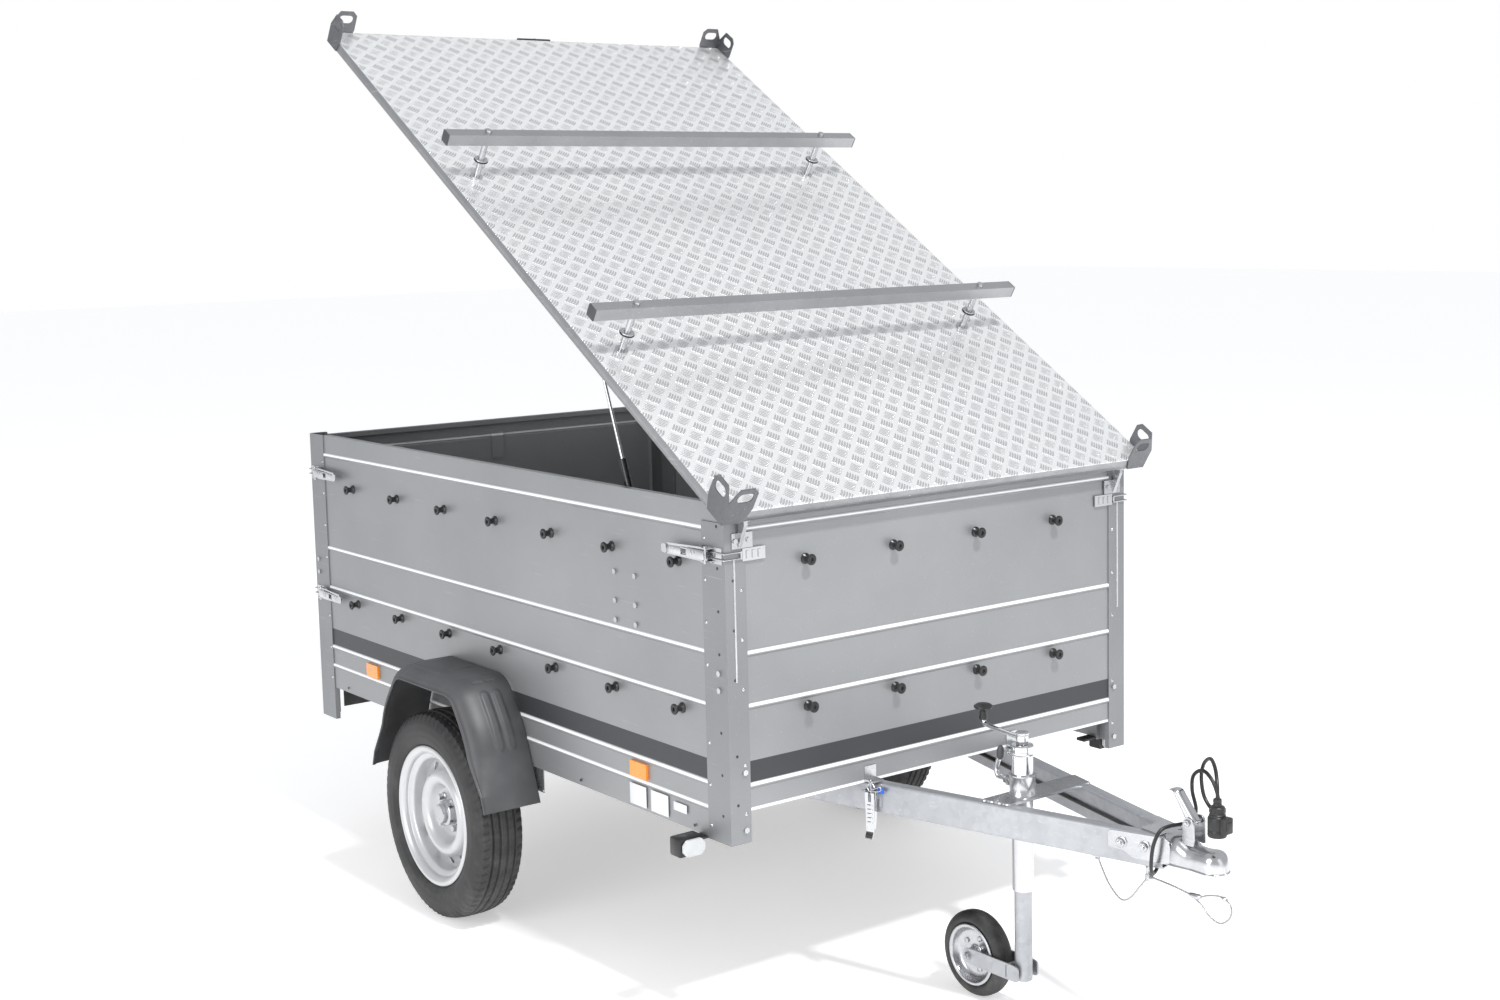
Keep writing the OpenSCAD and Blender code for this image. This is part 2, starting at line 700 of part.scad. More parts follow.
// d is the inset of the inner skin, e the drop of the outer edge
module guard_outline(d, e) {
    polygon([[guard_back + d, guard_low - 2 * d], [guard_back + 60 + d, guard_top - 120 - e],
             [guard_back + 150 + e / 2 + d / 2, guard_top - d - e],
             [guard_front - 150 - e / 2 - d / 2, guard_top - d - e],
             [guard_front - 70 - d, guard_top - 110 - e], [guard_front - d, guard_low - 2 * d]]);
}
module guard_solid(d) {
    hull() {
        translate([0, -guard_out + 70, 0]) along_y(guard_out - 70 - guard_in + (d > 0 ? 5 : 0))
            guard_outline(d, 0);
        translate([0, -guard_out + (d > 0 ? -5 : 0), 0]) along_y(4) guard_outline(d, 60);
    }
}
module mudguards() {
    color("#2a2b2d") at_frame() both_sides() difference() {
        guard_solid(0);
        guard_solid(guard_t);
    }
}

// ---- Brackets on the box: pivot ears, strut feet, hinge plates, guard stays ----
module box_brackets() {
    color("#b4b7bb") at_frame() both_sides() {
        // pivot ear from the floor frame, outside the arm
        difference() {
            union() {
                translate([tip_x - 30, -ear_y - ear_t, tip_z - 24])
                    cube([60, ear_t, frame_z - tip_z + 24]);
                translate([tip_x - 30, -half_w + post_return, frame_z - 6])
                    cube([60, half_w - post_return - ear_y, 6]);
            }
            translate([tip_x, -ear_y - ear_t - 1, tip_z]) rotate([-90, 0, 0])
                cylinder(h = ear_t + 2, r = tip_pin_r + run);
        }
        // strut foot plate and stud
        translate([strut_foot_x - 95, -half_w + face_in + sheet_t, strut_foot_z - 70])
            cube([100, 3, 150]);
        translate([strut_foot_x, -half_w + face_in + sheet_t + 3, strut_foot_z])
            rotate([-90, 0, 0]) cylinder(h = half_w - face_in - sheet_t - 3 - strut_y + 9, r = 4);
        // lid hinge plate on the front post and its eye
        translate([half_l, -half_w + 18, hinge_z - 67]) cube([3, 56, 34]);
        translate([0, -half_w + 34, 0]) along_y(10) difference() {
            union() {
                polygon([[half_l + 3, hinge_z - 66], [half_l + 3, hinge_z - 34],
                         [hinge_x - 6, hinge_z], [hinge_x + 7, hinge_z],
                         [hinge_x + 7, hinge_z - 14]]);
                translate([hinge_x, hinge_z]) circle(r = 9);
            }
            translate([hinge_x, hinge_z]) circle(r = hinge_r + run);
        }
        // tailgate pins
        for (z = [lower_pin_z, upper_pin_z])
            translate([pin_x, -(half_w - post_rear), z]) rotate([-90, 0, 0])
                cylinder(h = door_gap + 20, r = tail_pin_r);
        // mudguard stay at the lower front
        translate([guard_front - 40, -half_w + face_in + sheet_t, guard_low + 26])
            cube([50, 3, 100]);
        translate([guard_front - 40, -half_w, guard_low + 30])
            cube([50, face_in + sheet_t + 3, 4]);
        // eye bolt bracket of the tipping latch
        translate([half_l - face_in, -tip_latch_y - 16, frame_z + 4]) {
            cube([30, 34, 4]);
            cube([3, 34, 34]);
        }
    }
}

// ---- Rear beam with lamps, and front marker lamps ----
lamp_w = 200;
module rear_beam() {
    color("#3a3c3f") at_frame() {
        translate([-half_l + 16, -half_w + 60, rear_post_z + 16])
            cube([3, box_w - 120, lip_z - rear_post_z]);
        translate([-half_l + 16, -half_w + 60, lip_z]) cube([40, box_w - 120, 3]);
        both_sides() translate([-half_l + 30, -half_w + 60, lip_z]) cube([3, 40, frame_z - lip_z]);
    }
}

module tail_lamps() {
    color("#a01c1c") at_frame() both_sides() {
        translate([-half_l - 4, -half_w + 70, rear_post_z + 24]) cube([20, lamp_w, 62]);
        translate([-half_l - 6, -half_w + 74, rear_post_z + 28]) cube([2, lamp_w - 8, 54]);
    }
}

marker_x = half_l - 112;
module marker_lamps() {
    color("#d8dadc") at_frame() both_sides() {
        translate([marker_x - 14, -half_w - 16, lip_z - 8]) cube([28, 60, 8]);
        translate([marker_x - 20, -half_w - 74, lip_z - 36]) cube([42, 64, 42]);
        translate([marker_x + 22, -half_w - 70, lip_z - 33]) cube([6, 56, 36]);
    }
}

module side_reflectors() {
    color("#f08a10") at_frame() both_sides() for (x = [-690, 681])
        translate([x - 34, -half_w - 4, frame_z + 10]) cube([68, 7, 36]);
}

// ---- Toggle latches, drawn on the front right corner ----
latch_z = seam_z + 280;
latch_lower_z = frame_z + 215;
latch_pin_u = 54;
latch_pin_w = 13;
latch_pin_r = 2.5;
bail_r = 2;
bail_w = bail_r + 2;

// u runs from the corner along the side, w outwards, v along the end face
module latch_base() {
    translate([-78, -2, -18]) cube([70, 2, 36]);
    for (z = [-16, 13]) translate([-latch_pin_u - 10, -18, z]) cube([20, 16, 3]);
    translate([-latch_pin_u, -latch_pin_w, -18]) cylinder(h = 36, r = latch_pin_r);
    for (z = [-7, 7]) {
        translate([-42, -bail_w, z]) rotate([0, 90, 0]) cylinder(h = 42 + bail_w, r = bail_r);
        translate([bail_w, -bail_w, z]) rotate([-90, 0, 0]) cylinder(h = 48, r = bail_r);
        translate([bail_w, -bail_w, z]) sphere(r = bail_r);
    }
    translate([bail_w, 44 - bail_r, -7 - bail_r]) cylinder(h = 14 + 2 * bail_r, r = bail_r);
}

module latch_keeper(v0) {
    translate([0, v0, -14]) cube([3, 62, 28]);
    for (v = [10, 26, 42]) translate([3, v0 + v, -9]) cube([2, 7, 18]);
}

module latch_lever() {
    difference() {
        union() {
            translate([-196, -latch_pin_w - 6, -11]) cube([148, 3, 22]);
            for (z = [-11.5, 9.5]) translate([-96, -latch_pin_w - 5, z]) cube([48, 14, 2]);
            translate([-206, -latch_pin_w - 9, -11]) cube([14, 6, 22]);
        }
        translate([-latch_pin_u, -latch_pin_w, -20]) cylinder(h = 40, r = latch_pin_r + run);
    }
}

module at_front(z) { translate([half_l, -half_w, z]) children(); }
module at_rear(z) { translate([-half_l, -half_w, z]) mirror([1, 0, 0]) children(); }

module latch_plates() {
    color("#c6c9cc") at_frame() both_sides() {
        at_front(latch_z) {
            latch_base();
            latch_keeper(46);
        }
        at_rear(latch_z) latch_base();
        at_rear(latch_lower_z) latch_base();
    }
}

module latch_front_right() { color("#cdd0d3") at_frame() at_front(latch_z) latch_lever(); }
module latch_front_left() {
    color("#cdd0d3") at_frame() mirror([0, 1, 0]) at_front(latch_z) latch_lever();
}
module latch_rear_right_upper() { color("#cdd0d3") at_frame() at_rear(latch_z) latch_lever(); }
module latch_rear_left_upper() {
    color("#cdd0d3") at_frame() mirror([0, 1, 0]) at_rear(latch_z) latch_lever();
}
module latch_rear_right_lower() {
    color("#cdd0d3") at_frame() at_rear(latch_lower_z) latch_lever();
}
module latch_rear_left_lower() {
    color("#cdd0d3") at_frame() mirror([0, 1, 0]) at_rear(latch_lower_z) latch_lever();
}

// Hex bolts that join the posts, hold the strut feet and close the post edges
module panel_bolts() {
    color("#b9bcbf") at_frame() both_sides() {
        for (x = [half_l - 28, -half_l + 28], z = [seam_z - 18, seam_z + 20])
            translate([x, -half_w, z]) rotate([90, 0, 0]) hex_bolt(7, 5);
        for (u = [-85, 0], z = [-46, 0, 68])
            translate([strut_foot_x + u - 5, -half_w + face_in, strut_foot_z + z - 8])
                rotate([90, 0, 0]) hex_bolt(7, 5);
        for (y = [26, 62])
            translate([half_l + 3, -half_w + y, hinge_z - 50]) rotate([0, 90, 0]) hex_bolt(6, 4);
        for (z = [front_post_z + 30, frame_z + 90])
            translate([half_l, -half_w + 40, z]) rotate([0, 90, 0]) hex_bolt(7, 5);
    }
}

// ---- Lid ----
module lid_sheet() {
    color("#d9dbdd") at_frame() opened() difference() {
        translate([lid_front - lid_l, -lid_w / 2, lid_top - flange_h])
            cube([lid_l, lid_w, flange_h]);
        translate([lid_front - lid_l + lid_t, -lid_w / 2 + lid_t, lid_top - flange_h - 1])
            cube([lid_l - 2 * lid_t, lid_w - 2 * lid_t, flange_h + 1 - lid_t]);
    }
}

frame_bar = 22;
module lid_frame() {
    in_l = box_l - 2 * rim_fold - 46;
    in_w = box_w - 2 * rim_fold - 16;
    z0 = lid_top - lid_t - frame_bar;
    x0 = -in_l / 2 - 6;
    eye_y = strut_y + 12;
    color("#b2b5b9") at_frame() opened() {
        translate([x0, -in_w / 2, z0]) difference() {
            cube([in_l, in_w, frame_bar]);
            translate([frame_bar, frame_bar, -1])
                cube([in_l - 2 * frame_bar, in_w - 2 * frame_bar, frame_bar + 2]);
        }
        for (x = [-480, 0, 480]) translate([x - 11, -in_w / 2 + frame_bar, z0])
            cube([frame_bar, in_w - 2 * frame_bar, frame_bar]);
        // strut eyes under the frame's side bars
        both_sides() {
            translate([strut_eye_x - 20, -strut_y - 14, strut_eye_z - 12])
                cube([40, 3, z0 - strut_eye_z + 12]);
            translate([strut_eye_x - 20, -in_w / 2, z0 - 3]) cube([40, 40, 3]);
            translate([strut_eye_x, -strut_y - 12, strut_eye_z]) rotate([-90, 0, 0])
                cylinder(h = 5, r = 4);
        }
        // lock bolt housing behind the rear bar
        translate([x0 - 9, -32, z0 + 4]) cube([9, 64, 14]);
    }
}

// Lashing brackets on the lid's corners: two upright plates at right angles
bracket_w = 72;
bracket_h = 62;
bracket_foot = 30;
slot_r = 12;
slot_us = [32, 50];
slot_up = bracket_h - 24;
module bracket_plate() {
    w = bracket_w;
    top = bracket_foot + bracket_h;
    mid = bracket_foot + slot_up;
    translate([0, 3, -bracket_foot]) rotate([90, 0, 0]) linear_extrude(3) difference() {
        polygon([[0, 0], [w - 14, 0], [w, bracket_foot + 6], [w, top - 12], [w - 12, top],
                 [22, top], [0, bracket_foot + 24]]);
        for (u = slot_us) translate([u, mid]) circle(r = slot_r);
        translate([slot_us[0], mid - slot_r]) square([slot_us[1] - slot_us[0], 2 * slot_r]);
    }
}
module corner_bracket() {
    bracket_plate();
    mirror([1, -1, 0]) bracket_plate();
}

module lid_corner_brackets() {
    edge = lid_w / 2 + 3;
    color("#a2a5a9") at_frame() opened() both_sides() {
        translate([lid_front + 3, -edge, lid_top]) mirror([1, 0, 0]) corner_bracket();
        translate([lid_front - lid_l - 3, -edge, lid_top]) corner_bracket();
    }
}

// Hinge leaves on the lid's front flange, with the pin through the box's eye
module lid_hinge_leaves() {
    color("#b7babd") at_frame() opened() both_sides() {
        for (y = [-half_w + 26, -half_w + 44.5]) translate([0, y, 0]) along_y(7.5) union() {
            translate([hinge_x, hinge_z]) circle(r = 8.5);
            polygon([[hinge_x - 4, hinge_z + 6], [hinge_x - 4, lid_top - lid_t],
                     [lid_front - lid_t, lid_top - lid_t], [lid_front - lid_t, hinge_z + 5],
                     [hinge_x + 6, hinge_z]]);
        }
        translate([hinge_x, -half_w + 26, hinge_z]) rotate([-90, 0, 0])
            cylinder(h = 26, r = hinge_r);
    }
}

bar_xs = [lid_front - 592, lid_front - 1362];
post_y = 535;
bar_shift = 45;       // the bars lie this far to the right of the centreline
module roof_bars() {
    s = 30;
    color("#a9adb1") at_frame() opened() for (x = bar_xs)
        translate([x - s / 2, -bar_l / 2 - bar_shift, lid_top + bar_h - s]) difference() {
            cube([s, bar_l, s]);
            translate([2, -1, 2]) cube([s - 4, bar_l + 2, s - 4]);
        }
}

module bar_posts() {
    color("#c2c5c8") at_frame() opened() for (x = bar_xs, y = [-post_y - bar_shift, post_y - bar_shift]) {
        translate([x, y, lid_top]) {
            cylinder(h = bar_h - 30, r = 8);
            cylinder(h = 5, r = 16);
            translate([0, 0, bar_h]) hex_bolt(9, 8);
        }
    }
}

module bar_rubbers() {
    color("#131313") at_frame() opened() for (x = bar_xs) {
        for (y = [-post_y - bar_shift, post_y - bar_shift]) translate([x, y, lid_top + 44]) difference() {
            cylinder(h = 12, r = 16);
            translate([0, 0, -1]) cylinder(h = 14, r = 8);
        }
        for (y = [-bar_l / 2 - bar_shift - 3, bar_l / 2 - bar_shift])
            translate([x - 15, y, lid_top + bar_h - 30]) cube([30, 3, 30]);
    }
}

module lid_lock_handle() {
    x = lid_front - lid_l;
    color("#202124") at_frame() opened() {
        translate([x - 14, 0, lid_top - 15]) rotate([0, 90, 0]) cylinder(h = 14 - gap, r = 13);
        translate([x - 20, -55, lid_top - 24]) cube([6, 110, 18]);
    }
}

// ---- Gas struts ----
module strut_place() {
    both_sides() translate([strut_foot_x, -strut_y, strut_foot_z]) rotate([0, strut_lean, 0])
        children();
}

module strut_cylinders() {
    color("#18191b") at_frame() strut_place() difference() {
        union() {
            translate([0, 0, 8]) cylinder(h = cyl_len, r = cyl_r);
            rotate([90, 0, 0]) cylinder(h = 12, r = 9, center = true);
        }
        rotate([90, 0, 0]) cylinder(h = 20, r = 4 + run, center = true);
        translate([0, 0, 24]) cylinder(h = cyl_len, r = rod_r + run);
    }
}

module strut_rods() {
    tip = strut_len - 22;
    color("#101113") at_frame() strut_place() {
        translate([0, 0, cyl_len - 40]) cylinder(h = tip - cyl_len + 40, r = rod_r);
        translate([0, 0, tip]) difference() {
            cylinder(h = 14, r = 7);
            translate([-8, -3, 6]) cube([16, 6, 9]);
        }
    }
}

// ---- Cables ----
harness_r = 4;
cord_r = 4;
rope_r = 2;
// harness along the left arm's inner face to the nose
harness_in = arm_half + harness_r + 0.7;
harness_pts = concat([for (x = [0, 300, 800, 1300, 1600]) [x, arm_mid_y(x) - harness_in, 466]],
                     [[1680, 14, 452], [1712, 2, 436]]);
// cord over the coupler's neck, round twice beside the handle, to the plug
cord_pts = [[1712, 2, 436], [1722, -12, 424], [1738, -44, 422], [1751, -64, 446],
            [1758, -66, 490], [1762, -50, 520], [1766, -24, 527], [1770, 8, 526],
            [1776, 36, 528], [1776, 47, 552], [1768, 44, 590], [1778, 36, 626],
            [1806, 32, 644], [1838, 24, 632], [1854, 24, 600], [1844, 38, 566],
            [1816, 52, 558], [1788, 58, 580], [1784, 54, 622], [1800, 44, 656],
            [1834, 24, 676], [1868, -2, 668], [1892, -24, 644], [1898, -30, 616]];
// breakaway rope: clamp, hanging bight, guide and eye
rope_pts = [[1600, -64, 430], [1608, -58, 402], [1622, -50, 368], [1646, -42, 342],
            [1668, -36, 350], [1688, -28, 378], [1706, -20, 400], [1740, -28, 405],
            [1790, -38, 407], [1850, -38, 401], [1884, -38, 412], [1916, -36, 416],
            [1938, -34, 400], [1934, -34, 376], [1912, -36, 360], [1886, -38, 368],
            [1862, -38, 388], [1846, -38, 396]];

// Catmull-Rom points between the listed ones, n to a span
function spline(p, n) =
    let (last = len(p) - 1)
    concat([for (i = [0 : last - 1], k = [0 : n - 1])
        let (t = k / n, a = p[max(i - 1, 0)], b = p[i], c = p[i + 1], d = p[min(i + 2, last)])
        0.5 * (2 * b + (c - a) * t + (2 * a - 5 * b + 4 * c - d) * t * t
               + (3 * b - a - 3 * c + d) * t * t * t)], [p[last]]);

function unit(v) = v / norm(v);

// One closed tube along the points, whose rings keep their turn by parallel transport
function carry(side, dir) = unit(side - (side * dir) * dir);
function sides(dirs, i, prev) =
    i == len(dirs) ? [] : let (s = carry(prev, dirs[i])) concat([s], sides(dirs, i + 1, s));
module tube_along(p, r, n = 8) {
    last = len(p) - 1;
    dirs = [for (i = [0 : last]) unit(p[min(i + 1, last)] - p[max(i - 1, 0)])];
    start = cross(dirs[0], abs(dirs[0][2]) > 0.8 ? [0, 1, 0] : [0, 0, 1]);
    s = sides(dirs, 0, unit(start));
    points = [for (i = [0 : last], k = [0 : n - 1])
        p[i] + r * (cos(360 * k / n) * s[i] + sin(360 * k / n) * cross(dirs[i], s[i]))];
    polyhedron(points, concat(
        [[for (k = [0 : n - 1]) k]],
        [[for (k = [n - 1 : -1 : 0]) last * n + k]],
        [for (i = [0 : last - 1], k = [0 : n - 1])
            [i * n + k, (i + 1) * n + k, (i + 1) * n + (k + 1) % n, i * n + (k + 1) % n]]));
}

module wiring_harness() { color("#111111") at_frame() tube_along(spline(harness_pts, 3), harness_r); }
module electric_cord() { color("#0f0f0f") at_frame() tube_along(spline(cord_pts, 2), cord_r); }
module safety_rope() { color("#9a9da1") at_frame() tube_along(spline(rope_pts, 3), rope_r); }

module cord_plug() {
    end = cord_pts[len(cord_pts) - 1];
    color("#121212") at_frame() translate(end) {
        translate([0, 0, -14]) cylinder(h = 14, r = 9);
        translate([0, 0, -30]) cylinder(h = 16, r = 15);
        translate([0, 0, -78]) cylinder(h = 48, r = 20);
        translate([16, -14, -66]) cube([16, 28, 34]);
    }
}

module rope_fittings() {
    start = rope_pts[0];
    color("#b3b6ba") at_frame() {
        translate([start[0] - 9, start[1] - 8, start[2]]) cube([18, 16, 5]);
        translate([1702, -27, 394]) cube([8, 14, frame_z - arm_h - 394]);
        translate([1838, -38, 400]) rotate([0, 96, 0]) cylinder(h = 18, r = 6.5);
    }
}

drawbar_arms();
cross_plate();
axle_beam();
stub_arms();
coupler_body();
coupler_bolts();
wiring_harness();
electric_cord();
cord_plug();
safety_rope();
rope_fittings();
tipping_brackets();
tip_lever_right();
tip_lever_left();
coupler_handle();
jockey_outer_tube();
jockey_leg();
jockey_tyre();
jockey_rim();
jockey_crank();
jockey_clamp_lever();
tyre_right();
rim_right();
hub_right();
tyre_left();
rim_left();
hub_left();
floor_board();
floor_frame();
side_panels_lower();
side_panels_upper();
front_panels();
corner_posts();
rope_knobs();
side_reflectors();
mudguards();
box_brackets();
rear_beam();
tail_lamps();
marker_lamps();
latch_plates();
panel_bolts();
tailgate_lower();
tailgate_upper();
latch_front_right();
latch_front_left();
latch_rear_right_upper();
latch_rear_left_upper();
latch_rear_right_lower();
latch_rear_left_lower();
lid_sheet();
lid_frame();
lid_corner_brackets();
lid_hinge_leaves();
roof_bars();
bar_posts();
bar_rubbers();
lid_lock_handle();
strut_cylinders();
strut_rods();
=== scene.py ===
# %% [markdown]
# # A small box trailer with a tipping box and a tread-plate lid
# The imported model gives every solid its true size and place. This lesson dresses it:
# sheet steel, zinc plate, tread aluminium, tyres, cords and all the small pressings.
# Everything is in metres, in the model's own frame, and nothing is fitted by eye.

# %% Load the frame
import bpy
import bmesh
import math
import numpy as np
from mathutils import Matrix


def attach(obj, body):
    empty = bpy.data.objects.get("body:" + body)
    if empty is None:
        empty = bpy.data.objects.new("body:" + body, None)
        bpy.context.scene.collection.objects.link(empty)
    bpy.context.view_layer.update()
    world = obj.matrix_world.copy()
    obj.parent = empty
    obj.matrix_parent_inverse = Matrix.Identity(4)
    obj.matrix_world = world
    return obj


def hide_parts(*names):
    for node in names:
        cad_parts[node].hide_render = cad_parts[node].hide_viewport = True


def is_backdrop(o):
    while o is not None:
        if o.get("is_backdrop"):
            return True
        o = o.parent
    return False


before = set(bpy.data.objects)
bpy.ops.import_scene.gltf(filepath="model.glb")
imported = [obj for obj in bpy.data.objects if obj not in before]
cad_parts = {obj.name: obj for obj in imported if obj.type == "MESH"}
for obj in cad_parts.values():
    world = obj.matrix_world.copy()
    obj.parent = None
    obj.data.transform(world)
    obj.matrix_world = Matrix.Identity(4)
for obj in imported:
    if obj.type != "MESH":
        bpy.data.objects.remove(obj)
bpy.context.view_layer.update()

# %% [markdown]
# The drawing was made in millimetres about the middle of the box, and the model's
# origin lies at the middle of the whole length. One function takes drawing lengths
# to the frame, and one turns lid pieces open about the lid's hinge.

# %% Drawing lengths to the frame
FRAME_X = 418.5
LID_OPEN = math.radians(32.6)
HINGE = np.array([1060.0, 0.0, 1160.0])


def rot_y(a):
    """Turn about Y: x goes to x cos a + z sin a, and z to z cos a - x sin a."""
    return np.array([[math.cos(a), 0, math.sin(a)], [0, 1, 0], [-math.sin(a), 0, math.cos(a)]])


def rot_x(a):
    """Turn about X by a."""
    return np.array([[1, 0, 0], [0, math.cos(a), -math.sin(a)], [0, math.sin(a), math.cos(a)]])


def rot_z(a):
    """Turn about Z by a."""
    return np.array([[math.cos(a), -math.sin(a), 0], [math.sin(a), math.cos(a), 0], [0, 0, 1]])


def to_frame(p):
    """Drawing point to frame point: move back by FRAME_X, then millimetres to metres."""
    return (np.asarray(p, float) - [FRAME_X, 0, 0]) / 1000.0


def lid_open(p):
    """A point of the closed lid, turned by the opening angle about the hinge."""
    return (np.asarray(p, float) - HINGE) @ rot_y(LID_OPEN).T + HINGE


print("lid hinge in the frame", to_frame(HINGE))

# %% [markdown]
# ## Camera, light and floor
# The camera stands low at the front right, with a fairly long lens. Its right, up and
# back directions follow from a heading, a tilt and a small roll.

# %% Camera
def camera_axes(heading, tilt, roll):
    """Forward is (cos tilt cos heading, cos tilt sin heading, sin tilt). Right is forward
    crossed with Z, up is right crossed with forward, and both turn by the roll."""
    f = np.array([math.cos(tilt) * math.cos(heading), math.cos(tilt) * math.sin(heading),
                  math.sin(tilt)])
    r = np.cross(f, [0, 0, 1])
    r /= np.linalg.norm(r)
    u = np.cross(r, f)
    c, s = math.cos(roll), math.sin(roll)
    return r * c + u * s, u * c - r * s, -f


scene = bpy.context.scene
right, up, back = camera_axes(math.radians(142.0), math.radians(-6.915), math.radians(-1.166))
camera = bpy.data.objects.new("camera", bpy.data.cameras.new("camera"))
camera.data.lens = 47.93
camera.data.shift_x, camera.data.shift_y = -0.0324, -0.0315
place = Matrix([[*row] for row in np.column_stack([right, up, back])]).to_4x4()
place.translation = to_frame([4478, -3103, 1815])
camera.matrix_world = place
scene.collection.objects.link(camera)
scene.camera = camera
print("camera at", [round(v, 3) for v in camera.location])

# %% [markdown]
# A broad key light stands square to the open lid, so the roof bars throw their shadows
# straight under themselves. A pale room and a big fill keep the sides soft.

# %% Light and floor
def area_light(name, at, toward, size, watts, tone=(1, 1, 1)):
    """A square lamp at one point, turned so that its -Z looks at another point."""
    lamp = bpy.data.lights.new(name, "AREA")
    lamp.shape, lamp.size, lamp.energy, lamp.color = "SQUARE", size, watts, tone
    holder = bpy.data.objects.new(name, lamp)
    z = np.array(at, float) - np.array(toward, float)
    z /= np.linalg.norm(z)
    x = np.cross([0, 1, 0.2], z)
    x /= np.linalg.norm(x)
    m = Matrix([[*row] for row in np.column_stack([x, np.cross(z, x), z])]).to_4x4()
    m.translation = at
    holder.matrix_world = m
    scene.collection.objects.link(holder)


area_light("key", (4.2, -0.6, 6.4), (-0.1, 0, 1.2), 0.5, 430)
area_light("fill_right", (1.8, -6.5, 2.6), (0, 0, 0.8), 4.0, 190)
area_light("fill_front", (6.5, 1.5, 2.2), (0, 0, 0.8), 3.5, 30)
world = bpy.data.worlds.new("room")
world.use_nodes = True
room = world.node_tree
lit = room.nodes["Background"]
lit.inputs["Color"].default_value = (0.95, 0.97, 1.0, 1)
lit.inputs["Strength"].default_value = 0.66
seen = room.nodes.new("ShaderNodeBackground")
seen.inputs["Color"].default_value = (1, 1, 1, 1)
ray = room.nodes.new("ShaderNodeLightPath")
mix = room.nodes.new("ShaderNodeMixShader")
room.links.new(ray.outputs["Is Camera Ray"], mix.inputs[0])
room.links.new(lit.outputs[0], mix.inputs[1])
room.links.new(seen.outputs[0], mix.inputs[2])
room.links.new(mix.outputs[0], room.nodes["World Output"].inputs["Surface"])
scene.world = world
scene.view_settings.view_transform = "Standard"

# %% [markdown]
# ## Mesh helpers
# Each new piece is a grid of points worked out by a formula, or a section carried along
# a path. These helpers join grids into meshes, close their ends and turn faces outwards.

# %% Grids to meshes
def grid(P, close_u=False, close_v=False, cap_u=False):
    """Points P of shape (m, n, 3) as quads between neighbours. close_u and close_v join
    the last row or column to the first, and cap_u closes the first and last rows."""
    m, n = P.shape[:2]
    i = np.arange(m if close_u else m - 1)[:, None]
    j = np.arange(n if close_v else n - 1)[None, :]
    i2, j2 = (i + 1) % m, (j + 1) % n
    quads = np.stack([i * n + j, i2 * n + j, i2 * n + j2, i * n + j2], -1).reshape(-1, 4)
    faces = quads.tolist()
    if cap_u:
        faces += [list(range(n))[::-1], [(m - 1) * n + k for k in range(n)]]
    return P.reshape(-1, 3), faces


def joined(parts):
    """Several (points, faces) as one."""
    points, faces, base = [], [], 0
    for p, f in parts:
        points.append(p)
        faces += [[k + base for k in face] for face in f]
        base += len(p)
    return np.concatenate(points), faces


def mirrored(parts):
    """Each part, and its copy on the other side of the plane y = 0."""
    return list(parts) + [(p * [1, -1, 1], f) for p, f in parts]


def make(name, parts, material, body, replaces=(), bevel=0.0, weld=True,
         wall=0.0, sharp=35, lid=False, levels=0):
    """One object from parts in drawing millimetres: placed, welded, faces outwards, smooth
    but for edges over the sharp angle, then the wall, bevel and subdivision if asked."""
    points, faces = joined(parts)
    points = to_frame(lid_open(points) if lid else points)
    mesh = bpy.data.meshes.new(name)
    mesh.from_pydata(points.tolist(), [], faces)
    bm = bmesh.new()
    bm.from_mesh(mesh)
    if weld:
        bmesh.ops.remove_doubles(bm, verts=bm.verts, dist=2e-6)
    bmesh.ops.recalc_face_normals(bm, faces=bm.faces)
    bm.to_mesh(mesh)
    bm.free()
    mesh.polygons.foreach_set("use_smooth", [True] * len(mesh.polygons))
    mesh.set_sharp_from_angle(angle=math.radians(sharp))
    obj = bpy.data.objects.new(name, mesh)
    scene.collection.objects.link(obj)
    mesh.materials.append(material)
    if wall:
        m = obj.modifiers.new("wall", "SOLIDIFY")
        m.thickness, m.offset, m.use_even_offset = wall, -1.0, True
    if bevel:
        m = obj.modifiers.new("edge", "BEVEL")
        m.width, m.segments, m.limit_method, m.angle_limit = bevel, 2, "ANGLE", math.radians(40)
        m.harden_normals = True
    if levels:
        m = obj.modifiers.new("smooth", "SUBSURF")
        m.levels = m.render_levels = levels
    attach(obj, body)
    if replaces:
        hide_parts(*replaces)
    return obj


print("helpers ready")

# %% [markdown]
# The shapes that come back again and again: a lathe form, a bar with a given section, a
# section swept along a path, a box with rounded edges and a plate with a hole.

# %% Repeated forms
def lathe(profile, n=48, at=(0, 0, 0), turn=np.eye(3), closed=False):
    """Profile rows (r, z) turned about Z: point = (r cos t, r sin t, z), then turned and
    moved. A closed profile makes a ring; an open one starts and ends on the axis."""
    r, z = np.array(profile, float).T
    t = np.linspace(0, 2 * np.pi, n, endpoint=False)[:, None]
    P = np.stack([r * np.cos(t), r * np.sin(t), z + 0 * t], -1)
    return grid(P @ np.asarray(turn).T + at, close_u=True, close_v=closed)


def capped(profile):
    """A lathe profile closed on the axis at both ends by a hair-thin middle."""
    p = [list(q) for q in profile]
    return [[0.01, p[0][1]]] + p + [[0.01, p[-1][1]]]


